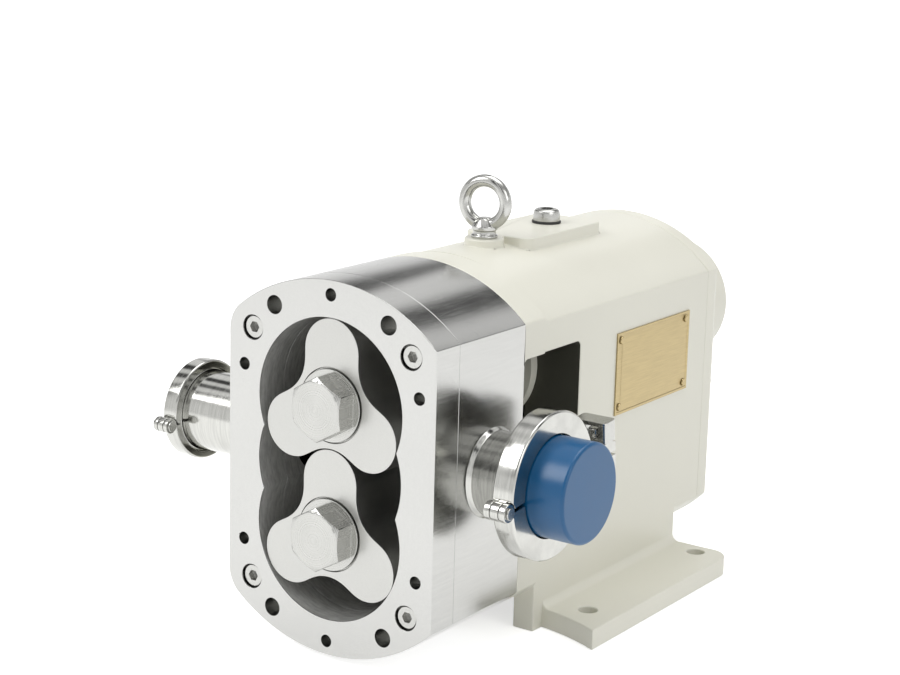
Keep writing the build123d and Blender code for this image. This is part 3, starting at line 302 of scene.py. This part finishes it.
def add(tree, kind, **values):
    """A node with its settings; the keys that name inputs set those."""
    node = tree.nodes.new(kind)
    for key, value in values.items():
        if key in node.inputs:
            node.inputs[key].default_value = value
        else:
            setattr(node, key, value)
    return node


def maths(tree, operation, first, second=None, clamp=False):
    node = add(tree, "ShaderNodeMath", operation=operation, use_clamp=clamp)
    for index, value in enumerate((first, second)):
        if value is None:
            continue
        if isinstance(value, (int, float)):
            node.inputs[index].default_value = value
        else:
            tree.links.new(value, node.inputs[index])
    return node.outputs[0]


def stepped(tree, value, low, high, to_low=0.0, to_high=1.0):
    node = add(tree, "ShaderNodeMapRange", interpolation_type="SMOOTHSTEP")
    tree.links.new(value, node.inputs["Value"])
    node.inputs["From Min"].default_value = low
    node.inputs["From Max"].default_value = high
    node.inputs["To Min"].default_value = to_low
    node.inputs["To Max"].default_value = to_high
    return node.outputs["Result"]


def grain_group():
    """Fine drawn or cast grain and broad cloudy marks, in metres."""
    found = bpy.data.node_groups.get("grain")
    if found:
        return found
    group, source, target = new_group(
        "grain",
        [
            ("Vector", "NodeSocketVector", None),
            ("Stretch", "NodeSocketVector", (1.0, 1.0, 1.0)),
            ("Fineness", "NodeSocketFloat", 900.0),
            ("Cloud size", "NodeSocketFloat", 22.0),
        ],
        [("Grain", "NodeSocketFloat"), ("Cloud", "NodeSocketFloat"), ("Scratches", "NodeSocketFloat")],
    )
    drawn = add(group, "ShaderNodeVectorMath", operation="MULTIPLY")
    group.links.new(source.outputs["Vector"], drawn.inputs[0])
    group.links.new(source.outputs["Stretch"], drawn.inputs[1])
    fine = add(group, "ShaderNodeTexNoise", Detail=5.0, Roughness=0.65)
    group.links.new(drawn.outputs[0], fine.inputs["Vector"])
    group.links.new(source.outputs["Fineness"], fine.inputs["Scale"])
    group.links.new(fine.outputs["Fac"], target.inputs["Grain"])
    cloud = add(group, "ShaderNodeTexNoise", Detail=3.0, Roughness=0.5)
    group.links.new(source.outputs["Vector"], cloud.inputs["Vector"])
    group.links.new(source.outputs["Cloud size"], cloud.inputs["Scale"])
    group.links.new(cloud.outputs["Fac"], target.inputs["Cloud"])
    cells = add(group, "ShaderNodeTexVoronoi", feature="DISTANCE_TO_EDGE", Scale=46.0)
    bent = add(group, "ShaderNodeVectorMath", operation="ADD")
    group.links.new(source.outputs["Vector"], bent.inputs[0])
    swirl = add(group, "ShaderNodeTexNoise", Scale=60.0, Detail=2.0)
    group.links.new(source.outputs["Vector"], swirl.inputs["Vector"])
    small = add(group, "ShaderNodeVectorMath", operation="SCALE", Scale=0.02)
    group.links.new(swirl.outputs["Color"], small.inputs[0])
    group.links.new(small.outputs[0], bent.inputs[1])
    group.links.new(bent.outputs[0], cells.inputs["Vector"])
    scratches = stepped(group, cells.outputs["Distance"], 0.0, 0.012, 1.0, 0.0)
    group.links.new(scratches, target.inputs["Scratches"])
    return group


def rings_group():
    """Turning marks: fine rings about an axis through a centre."""
    found = bpy.data.node_groups.get("turning marks")
    if found:
        return found
    group, source, target = new_group(
        "turning marks",
        [
            ("Vector", "NodeSocketVector", None),
            ("Centre", "NodeSocketVector", (0.0, 0.0, 0.0)),
            ("Across", "NodeSocketVector", (1.0, 0.0, 1.0)),
            ("Pitch", "NodeSocketFloat", 900.0),
        ],
        [("Rings", "NodeSocketFloat"), ("Radius", "NodeSocketFloat")],
    )
    offset = add(group, "ShaderNodeVectorMath", operation="SUBTRACT")
    group.links.new(source.outputs["Vector"], offset.inputs[0])
    group.links.new(source.outputs["Centre"], offset.inputs[1])
    flat = add(group, "ShaderNodeVectorMath", operation="MULTIPLY")
    group.links.new(offset.outputs[0], flat.inputs[0])
    group.links.new(source.outputs["Across"], flat.inputs[1])
    radius = add(group, "ShaderNodeVectorMath", operation="LENGTH")
    group.links.new(flat.outputs[0], radius.inputs[0])
    spread = maths(group, "MULTIPLY", radius.outputs["Value"], source.outputs["Pitch"])
    noise = add(group, "ShaderNodeTexNoise", noise_dimensions="1D", Scale=1.0, Detail=4.0, Roughness=0.7)
    group.links.new(spread, noise.inputs["W"])
    group.links.new(noise.outputs["Fac"], target.inputs["Rings"])
    group.links.new(radius.outputs["Value"], target.inputs["Radius"])
    return group


def placed(tree, group, **values):
    node = tree.nodes.new("ShaderNodeGroup")
    node.node_tree = group
    for key, value in values.items():
        node.inputs[key.replace("_", " ")].default_value = value
    return node


def new_material(name):
    material = bpy.data.materials.new(name)
    material.use_nodes = True
    tree = material.node_tree
    shader = tree.nodes["Principled BSDF"]
    coords = tree.nodes.new("ShaderNodeTexCoord")
    return material, tree, shader, coords.outputs["Object"]


def toned(tree, value, base, low, high):
    """The base colour times a tone between low and high."""
    ramp = tree.nodes.new("ShaderNodeMix")
    ramp.data_type = "RGBA"
    ramp.inputs["A"].default_value = (base[0] * low, base[1] * low, base[2] * low, 1)
    ramp.inputs["B"].default_value = (
        min(1, base[0] * high), min(1, base[1] * high), min(1, base[2] * high), 1,
    )
    tree.links.new(value, ramp.inputs["Factor"])
    return ramp.outputs["Result"]


def bumped(tree, shader, height, strength, distance):
    bump = add(tree, "ShaderNodeBump", Strength=strength, Distance=distance)
    tree.links.new(height, bump.inputs["Height"])
    tree.links.new(bump.outputs["Normal"], shader.inputs["Normal"])


def steel(name, base, roughness, stretch=(1.0, 1.0, 1.0), fineness=900.0, tone=0.16, depth=0.02 * MM,
          spread=0.08, metallic=1.0):
    """Drawn, ground or blasted steel: streaks along the work, clouds and light scratches."""
    found = bpy.data.materials.get(name)
    if found:
        return found
    material, tree, shader, coords = new_material(name)
    shader.inputs["Metallic"].default_value = metallic
    grain = placed(tree, grain_group(), Stretch=stretch, Fineness=fineness)
    tree.links.new(coords, grain.inputs["Vector"])
    streak = stepped(tree, grain.outputs["Grain"], 0.3, 0.7)
    clouded = maths(tree, "ADD", maths(tree, "MULTIPLY", streak, 0.6),
                    maths(tree, "MULTIPLY", grain.outputs["Cloud"], 0.4), clamp=True)
    tree.links.new(toned(tree, clouded, base, 1 - tone, 1 + tone), shader.inputs["Base Color"])
    rough = maths(tree, "ADD", maths(tree, "MULTIPLY", clouded, spread), roughness - spread / 2)
    scratched = maths(tree, "MULTIPLY", grain.outputs["Scratches"], 0.04)
    rough = maths(tree, "ADD", rough, scratched, clamp=True)
    tree.links.new(rough, shader.inputs["Roughness"])
    bumped(tree, shader, grain.outputs["Grain"], 0.5, depth)
    return material


def lathe_steel(name, base, roughness, centre, across, tone=0.2, along=0.35):
    """Turned steel: rings about the work's axis, with a highlight that fans out across them."""
    found = bpy.data.materials.get(name)
    if found:
        return found
    material, tree, shader, coords = new_material(name)
    shader.inputs["Metallic"].default_value = 1.0
    shader.inputs["Anisotropic"].default_value = along
    rings = placed(tree, rings_group(), Centre=centre, Across=across, Pitch=1400.0)
    tree.links.new(coords, rings.inputs["Vector"])
    grain = placed(tree, grain_group(), Fineness=700.0)
    tree.links.new(coords, grain.inputs["Vector"])
    streak = stepped(tree, rings.outputs["Rings"], 0.3, 0.7)
    mixed = maths(tree, "ADD", maths(tree, "MULTIPLY", streak, 0.7),
                  maths(tree, "MULTIPLY", grain.outputs["Cloud"], 0.3), clamp=True)
    tree.links.new(toned(tree, mixed, base, 1 - tone, 1 + tone), shader.inputs["Base Color"])
    tree.links.new(maths(tree, "ADD", maths(tree, "MULTIPLY", mixed, 0.1), roughness - 0.05),
                   shader.inputs["Roughness"])
    axis = "X" if across[0] == 0 else "Y"
    tangent = add(tree, "ShaderNodeTangent", direction_type="RADIAL", axis=axis)
    tree.links.new(tangent.outputs["Tangent"], shader.inputs["Tangent"])
    bumped(tree, shader, rings.outputs["Rings"], 0.4, 0.02 * MM)
    return material


def enamel(base):
    """Semi-gloss enamel over a cast surface."""
    found = bpy.data.materials.get("cream enamel")
    if found:
        return found
    material, tree, shader, coords = new_material("cream enamel")
    shader.inputs["Coat Weight"].default_value = 0.25
    shader.inputs["Coat Roughness"].default_value = 0.18
    grain = placed(tree, grain_group(), Fineness=420.0, Cloud_size=14.0)
    tree.links.new(coords, grain.inputs["Vector"])
    tree.links.new(toned(tree, grain.outputs["Cloud"], base, 0.965, 1.03), shader.inputs["Base Color"])
    tree.links.new(maths(tree, "ADD", maths(tree, "MULTIPLY", grain.outputs["Cloud"], 0.14), 0.36),
                   shader.inputs["Roughness"])
    bumped(tree, shader, grain.outputs["Grain"], 0.35, 0.12 * MM)
    return material


def moulded(name, base, roughness, bump=0.03 * MM, tone=0.08):
    """Moulded plastic or rubber with a faint skin."""
    found = bpy.data.materials.get(name)
    if found:
        return found
    material, tree, shader, coords = new_material(name)
    grain = placed(tree, grain_group(), Fineness=600.0, Cloud_size=30.0)
    tree.links.new(coords, grain.inputs["Vector"])
    surface = toned(tree, grain.outputs["Cloud"], base, 1 - tone, 1 + tone)
    tree.links.new(surface, shader.inputs["Base Color"])
    clouded = maths(tree, "MULTIPLY", grain.outputs["Cloud"], 0.12)
    rough = maths(tree, "ADD", clouded, roughness - 0.06)
    tree.links.new(rough, shader.inputs["Roughness"])
    bumped(tree, shader, grain.outputs["Grain"], 0.3, bump)
    return material


def clear_glass():
    found = bpy.data.materials.get("sight glass")
    if found:
        return found
    material, _, shader, _ = new_material("sight glass")
    shader.inputs["Roughness"].default_value = 0.05
    shader.inputs["Transmission Weight"].default_value = 0.85
    shader.inputs["Base Color"].default_value = (0.85, 0.86, 0.78, 1)
    return material


# ---------------------------------------------------------------- finishes of this pump


def head_steel(context):
    return steel("ground head steel", context.scene.pump_colours.head, 0.21, stretch=(1.0, 0.03, 1.0),
                 fineness=1500.0, tone=0.07, depth=0.006 * MM)


def chamber_steel(context):
    return steel("bored chamber steel", context.scene.pump_colours.chamber, 0.38,
                 stretch=(0.25, 1.0, 0.25), fineness=500.0, tone=0.30, depth=0.015 * MM, metallic=0.45)


def rotor_steel(context):
    return steel("milled rotor steel", context.scene.pump_colours.rotor, 0.34, fineness=1800.0, tone=0.07,
                 depth=0.01 * MM)


def tube_steel(context):
    return steel("polished tube steel", context.scene.pump_colours.tube, 0.14, stretch=(1.0, 0.05, 0.05),
                 fineness=900.0, tone=0.16, depth=0.012 * MM)


def screw_steel(context):
    return steel("screw steel", context.scene.pump_colours.screw, 0.24, fineness=1200.0, tone=0.14,
                 depth=0.015 * MM)


def paint(context):
    return enamel(context.scene.pump_colours.paint)


def rubber(context):
    return moulded("black rubber", context.scene.pump_colours.rubber, 0.55)


# ---------------------------------------------------------------- pump head


def darkened_chamber(piece, material, behind):
    """Gives the faces that line the rotor chamber their own finish."""
    piece.data.materials.append(material)
    for face in piece.data.polygons:
        middle = face.center
        rise = max(0.0, abs(middle.z - CENTRE_HEIGHT) - SHAFTS_APART / 2)
        inside = (middle.x**2 + rise**2) ** 0.5 < CHAMBER_REACH
        if inside and middle.y > CHAMBER_FRONT and (abs(face.normal.y) < 0.5 or middle.y < behind):
            face.material_index = 1


class PUMP_OT_head(bpy.types.Operator):
    """Front ring and rotor case with ground outsides and bored chambers"""

    bl_idname = "pump.head"
    bl_label = "Pump head"

    def execute(self, context):
        edge = context.scene.pump_edges.machined
        ring = dressed("front_ring", head_steel(context), edge)
        darkened_chamber(ring, chamber_steel(context), CHAMBER_FRONT)
        case = dressed("rotor_case", head_steel(context), edge)
        darkened_chamber(case, chamber_steel(context), CHAMBER_BACK)
        dressed("case_screws", screw_steel(context), context.scene.pump_edges.fine)
        return {"FINISHED"}


class PUMP_OT_rotors(bpy.types.Operator):
    """The two three-lobe rotors and the hexagon bolts that hold them"""

    bl_idname = "pump.rotors"
    bl_label = "Rotors"

    def execute(self, context):
        colours = context.scene.pump_colours
        for shaft in ("drive", "driven"):
            dressed(shaft + "_rotor", rotor_steel(context), context.scene.pump_edges.machined)
            low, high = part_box(shaft + "_rotor_bolt")
            centre = (low + high) / 2
            turned_face = lathe_steel(shaft + " bolt steel", colours.screw, 0.26, tuple(centre),
                                      (1.0, 0.0, 1.0), tone=0.10, along=0.75)
            dressed(shaft + "_rotor_bolt", turned_face, context.scene.pump_edges.machined)
        return {"FINISHED"}


# ---------------------------------------------------------------- gearbox


def paint_lantern_shade(piece, material):
    """Gives the faces inside the lantern window and its core a near-black colour: painted shade where the
    window sits between head and gearbox.
    """
    piece.data.materials.append(material)
    window_low, window_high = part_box("rotor_case")[1].y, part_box("bearing_cover")[1].y
    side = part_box("rear_cover")[1].x
    for face in piece.data.polygons:
        middle = face.center
        within = window_low + LANTERN_MARGIN < middle.y < window_high + LANTERN_MARGIN
        clear_of_sides = abs(middle.x) < side - LANTERN_MARGIN
        in_window = abs(middle.z - CENTRE_HEIGHT) < LANTERN_HALF + LANTERN_MARGIN
        if within and clear_of_sides and in_window:
            face.material_index = 1


class PUMP_OT_gearbox(bpy.types.Operator):
    """Painted gearbox casting with its feet, rear cover and bearing cover"""

    bl_idname = "pump.gearbox"
    bl_label = "Gearbox"

    def execute(self, context):
        edge = context.scene.pump_edges
        housing = dressed("gearbox_housing", paint(context), edge.casting, segments=3)
        # Painted shade: the lantern window's faces get a near-black colour in place of the shade that falls
        # there.
        lantern = moulded("lantern painted shade", context.scene.pump_colours.lantern, 0.5)
        paint_lantern_shade(housing, lantern)
        dressed("rear_cover", paint(context), edge.machined)
        dressed("bearing_cover", paint(context), edge.machined)
        for node in ("rear_cover_screws", "bearing_cover_screws", "drain_plug", "sight_glass_ring"):
            dressed(node, screw_steel(context), edge.fine)
        coated(frame["nodes"]["sight_glass_lens"], clear_glass())
        return {"FINISHED"}


class PUMP_OT_lifting_eye(bpy.types.Operator):
    """Lifting eye with its turned collar"""

    bl_idname = "pump.lifting_eye"
    bl_label = "Lifting eye"

    def execute(self, context):
        low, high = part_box("eye_bolt")
        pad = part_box("filler_seal")[0].z
        centre = Vector(((low.x + high.x) / 2, (low.y + high.y) / 2, high.z - EYE_RING - EYE_WIRE))
        only()
        bpy.ops.mesh.primitive_torus_add(
            major_radius=EYE_RING, minor_radius=EYE_WIRE, major_segments=96, minor_segments=32,
            location=centre, rotation=(radians(90), 0, EYE_TURN),
        )
        loop = context.view_layer.objects.active
        place_applied(loop)
        collar = turned(
            "collar", (centre.x, centre.y, pad), (0, 0, 1),
            [(-14 * MM, 4 * MM), (0.0, 4 * MM), (0.0, 8.4 * MM), (1.6 * MM, 8.6 * MM),
             (2.4 * MM, 7.4 * MM), (4.4 * MM, 7.2 * MM), (5.2 * MM, 8.2 * MM), (7.4 * MM, 8.2 * MM),
             (11.2 * MM, 5.6 * MM), (12.6 * MM, 4.0 * MM), (12.8 * MM, 2.0 * MM)],
        )
        bevelled(collar, 0.4 * MM)
        eye = joined([loop, collar], "lifting_eye")
        smoothed(eye, 40)
        coated(eye, steel("bright screw steel", context.scene.pump_colours.screw, 0.16, tone=0.1))
        stands_for(eye, "eye_bolt")
        return {"FINISHED"}


class PUMP_OT_filler(bpy.types.Operator):
    """Oil filler plug with its seal"""

    bl_idname = "pump.filler"
    bl_label = "Filler plug"

    def execute(self, context):
        low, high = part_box("filler_plug")
        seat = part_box("filler_seal")[1].z
        x, y = (low.x + high.x) / 2, (low.y + high.y) / 2
        radius = (high.x - low.x) / 2
        tall = high.z - seat
        plug = turned(
            "filler_plug_dressed", (x, y, seat), (0, 0, 1),
            [(low.z - seat, 6.5 * MM), (0.0, 6.5 * MM), (0.0, radius), (tall * 0.55, radius),
             (tall * 0.82, radius * 0.94), (tall * 0.95, radius * 0.80), (tall, radius * 0.62)],
        )
        socket = turned(
            "socket", (x, y, high.z - 4 * MM), (0, 0, 1), [(0, 4.6 * MM), (6 * MM, 4.6 * MM)], sides=6
        )
        cut(plug, socket)
        bevelled(plug, 0.25 * MM)
        smoothed(plug, 36)
        coated(plug, screw_steel(context))
        stands_for(plug, "filler_plug")
        dressed("filler_seal", rubber(context), 0.3 * MM)
        return {"FINISHED"}


class PUMP_OT_nameplate(bpy.types.Operator):
    """Bare brushed plate with a raised border and four rivets"""

    bl_idname = "pump.nameplate"
    bl_label = "Nameplate"

    def execute(self, context):
        low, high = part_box("nameplate")
        middle, size = (low + high) / 2, high - low
        only()
        bpy.ops.mesh.primitive_cube_add(size=1, location=middle, scale=size)
        plate = context.view_layer.objects.active
        plate.name = "nameplate_dressed"
        place_applied(plate)
        edit(plate)
        bpy.ops.mesh.select_all(action="DESELECT")
        done()
        for face in plate.data.polygons:
            face.select = face.normal.x > 0.5
        bpy.ops.object.mode_set(mode="EDIT")
        bpy.ops.mesh.inset(thickness=1.6 * MM, depth=0)
        bpy.ops.mesh.inset(thickness=0.35 * MM, depth=-0.3 * MM)
        bpy.ops.mesh.inset(thickness=4.2 * MM, depth=0)
        bpy.ops.mesh.inset(thickness=0.25 * MM, depth=0.15 * MM)
        done()
        bevelled(plate, 0.12 * MM, angle=50)
        smoothed(plate)
        gold = steel("brushed plate", context.scene.pump_colours.plate, 0.36, stretch=(1.0, 0.04, 1.0),
                     fineness=1300.0, tone=0.14, depth=0.02 * MM)
        coated(plate, gold)
        stands_for(plate, "nameplate")
        dressed("nameplate_rivets", gold, 0.2 * MM)
        return {"FINISHED"}


# ---------------------------------------------------------------- ports


class PUMP_OT_ports(bpy.types.Operator):
    """Port tubes, ferrule clamps, the blue cap and the steel plug"""

    bl_idname = "pump.ports"
    bl_label = "Ports and clamps"

    def execute(self, context):
        edge = context.scene.pump_edges
        tube = tube_steel(context)
        for side in ("right", "left"):
            dressed(side + "_port", tube, edge.fine)
            for part in ("clamp_fixed_half", "clamp_moving_half"):
                dressed(f"{side}_{part}", tube, edge.machined)
            for part in ("clamp_hinge_pin", "clamp_bolt_pin", "clamp_bolt", "clamp_nut"):
                dressed(f"{side}_{part}", screw_steel(context), edge.fine)
        dressed("right_cap", moulded("cap plastic", context.scene.pump_colours.cap, 0.30), edge.machined)
        dressed("left_cap", screw_steel(context), edge.machined)
        return {"FINISHED"}


# ---------------------------------------------------------------- shafts and inside


class PUMP_OT_drive_line(bpy.types.Operator):
    """Finishes of the shafts, gears, bearings and seals"""

    bl_idname = "pump.drive_line"
    bl_label = "Drive line"

    def execute(self, context):
        colours = context.scene.pump_colours
        ground = steel("ground shaft steel", colours.screw, 0.22, stretch=(0.06, 1.0, 0.06), fineness=900.0)
        gear = steel("gear steel", colours.chamber, 0.34, fineness=700.0)
        bright = steel("bearing steel", colours.tube, 0.12, stretch=(0.06, 1.0, 0.06))
        carbon = moulded("seal carbon", (0.06, 0.06, 0.065), 0.4)
        for shaft in ("drive", "driven"):
            dressed(shaft + "_shaft", ground, context.scene.pump_edges.fine)
            for part in ("_gear", "_gear_key", "_gear_nut", "_spacer"):
                coated(frame["nodes"][shaft + part], gear)
            for part in ("_inner_races", "_bearing_balls"):
                coated(frame["nodes"][shaft + part], bright)
            coated(frame["nodes"][shaft + "_seal_ring"], ground)
        coated(frame["nodes"]["bearing_outer_races"], bright)
        coated(frame["nodes"]["stationary_seals"], carbon)
        coated(frame["nodes"]["front_lip_seals"], rubber(context))
        coated(frame["nodes"]["drive_lip_seal"], rubber(context))
        return {"FINISHED"}


# ---------------------------------------------------------------- studio


def seen_directly(tree):
    """1 for what the camera, a mirror or glass shows of it."""
    path = tree.nodes.new("ShaderNodeLightPath")
    both = maths(tree, "MAXIMUM", path.outputs["Is Camera Ray"], path.outputs["Is Glossy Ray"])
    return path, maths(tree, "MAXIMUM", both, path.outputs["Is Transmission Ray"])


def softbox(name, place, aim, size, power):
    only()
    bpy.ops.object.light_add(type="AREA", location=place)
    lamp = bpy.context.view_layer.objects.active
    lamp.name = name
    lamp.data.shape = "RECTANGLE"
    lamp.data.size, lamp.data.size_y = size
    lamp.data.energy = power
    lamp.rotation_euler = (Vector(aim) - Vector(place)).to_track_quat("-Z", "Y").to_euler()


def studio_world(scene):
    """White all round for the camera, with soft dark gaps between the softboxes for the metal."""
    world = bpy.data.worlds.new("studio")
    scene.world = world
    world.use_nodes = True
    tree = world.node_tree
    back = tree.nodes["Background"]
    path, direct = seen_directly(tree)
    coords = tree.nodes.new("ShaderNodeTexCoord")
    parts = tree.nodes.new("ShaderNodeSeparateXYZ")
    tree.links.new(coords.outputs["Generated"], parts.inputs[0])
    bearing = maths(tree, "ARCTAN2", parts.outputs["X"], parts.outputs["Y"])
    wave = maths(tree, "SINE", maths(tree, "ADD", maths(tree, "MULTIPLY", bearing, 12.0), 2.75))
    gaps = stepped(tree, wave, -0.45, 0.45)
    raised = stepped(tree, parts.outputs["Z"], 0.24, 0.34)
    topmost = stepped(tree, parts.outputs["Z"], 0.75, 0.9, 1.0, 0.0)
    dark = maths(tree, "MULTIPLY", maths(tree, "MULTIPLY", gaps, raised), topmost)
    mirrored = maths(tree, "SUBTRACT", 1.0, maths(tree, "MULTIPLY", dark, 0.95))
    glossy = maths(tree, "MULTIPLY", path.outputs["Is Glossy Ray"], maths(tree, "SUBTRACT", 1.0, mirrored))
    level = maths(tree, "ADD", maths(tree, "MULTIPLY", direct, 0.45), 0.55)
    tree.links.new(maths(tree, "SUBTRACT", level, glossy), back.inputs["Strength"])
    back.inputs["Color"].default_value = (1, 1, 1, 1)


class PUMP_OT_studio(bpy.types.Operator):
    """Pale floor, soft lamps, white surroundings and the camera"""

    bl_idname = "pump.studio"
    bl_label = "Studio"

    def execute(self, context):
        scene = context.scene
        scene.view_settings.view_transform = "Standard"
        only()
        bpy.ops.mesh.primitive_plane_add(size=FLOOR_SIZE, location=(0, 0, -FLOOR_DROP))
        floor = context.view_layer.objects.active
        floor.name = "studio_floor"
        material, tree, shader, _ = new_material("pale floor")
        shader.inputs["Base Color"].default_value = (0.82, 0.82, 0.82, 1)
        shader.inputs["Roughness"].default_value = 0.7
        _, direct = seen_directly(tree)
        shader.inputs["Emission Color"].default_value = (1, 1, 1, 1)
        tree.links.new(maths(tree, "MULTIPLY", direct, FLOOR_GLOW), shader.inputs["Emission Strength"])
        coated(floor, material)
        softbox("key", (-0.9, -1.3, 1.5), (0, -0.05, 0.12), (1.0, 1.0), 16)
        softbox("fill", (1.5, -0.4, 0.9), (0, 0, 0.12), (0.9, 0.9), 5)
        softbox("top", (0.1, 0.3, 1.7), (0, 0, 0.1), (1.2, 1.2), 10)
        studio_world(scene)

        azimuth, rise, roll = CAMERA_TURN, CAMERA_RISE, CAMERA_ROLL
        right = Vector((cos(azimuth), sin(azimuth), 0))
        back = Vector((sin(azimuth) * cos(rise), -cos(azimuth) * cos(rise), sin(rise)))
        up = back.cross(right)
        across = right * cos(roll) + up * sin(roll)
        upright = up * cos(roll) - right * sin(roll)
        view = Matrix((across, upright, back)).transposed().to_4x4()
        view.translation = Vector(CAMERA_PLACE)
        bpy.ops.object.camera_add()
        camera = context.view_layer.objects.active
        camera.name = "studio_camera"
        camera.matrix_world = view
        camera.data.sensor_width = 36
        camera.data.lens = CAMERA_LENS
        camera.data.shift_x = -0.052
        camera.data.shift_y = -0.025
        scene.camera = camera
        return {"FINISHED"}


# ---------------------------------------------------------------- add-on

PIECES = (
    PUMP_OT_head,
    PUMP_OT_rotors,
    PUMP_OT_gearbox,
    PUMP_OT_lifting_eye,
    PUMP_OT_filler,
    PUMP_OT_nameplate,
    PUMP_OT_ports,
    PUMP_OT_drive_line,
    PUMP_OT_studio,
)


class PUMP_PT_panel(bpy.types.Panel):
    """Lists the pump's pieces and settings in the sidebar"""

    bl_idname = "PUMP_PT_panel"
    bl_label = "Lobe pump"
    bl_space_type = "VIEW_3D"
    bl_region_type = "UI"
    bl_category = "Pump"

    def draw(self, context):
        layout = self.layout
        for group in (context.scene.pump_colours, context.scene.pump_edges):
            box = layout.box()
            for key in group.__annotations__:
                box.prop(group, key)
        for piece in PIECES:
            layout.operator(piece.bl_idname)


CLASSES = (PumpColours, PumpEdges, *PIECES, PUMP_PT_panel)


def register():
    for cls in CLASSES:
        bpy.utils.register_class(cls)
    bpy.types.Scene.pump_colours = PointerProperty(type=PumpColours)
    bpy.types.Scene.pump_edges = PointerProperty(type=PumpEdges)


def unregister():
    del bpy.types.Scene.pump_colours
    del bpy.types.Scene.pump_edges
    for cls in reversed(CLASSES):
        bpy.utils.unregister_class(cls)


def main():
    register()
    for piece in PIECES:
        group, name = piece.bl_idname.split(".")
        getattr(getattr(bpy.ops, group), name)()


if __name__ == "__main__":
    main()
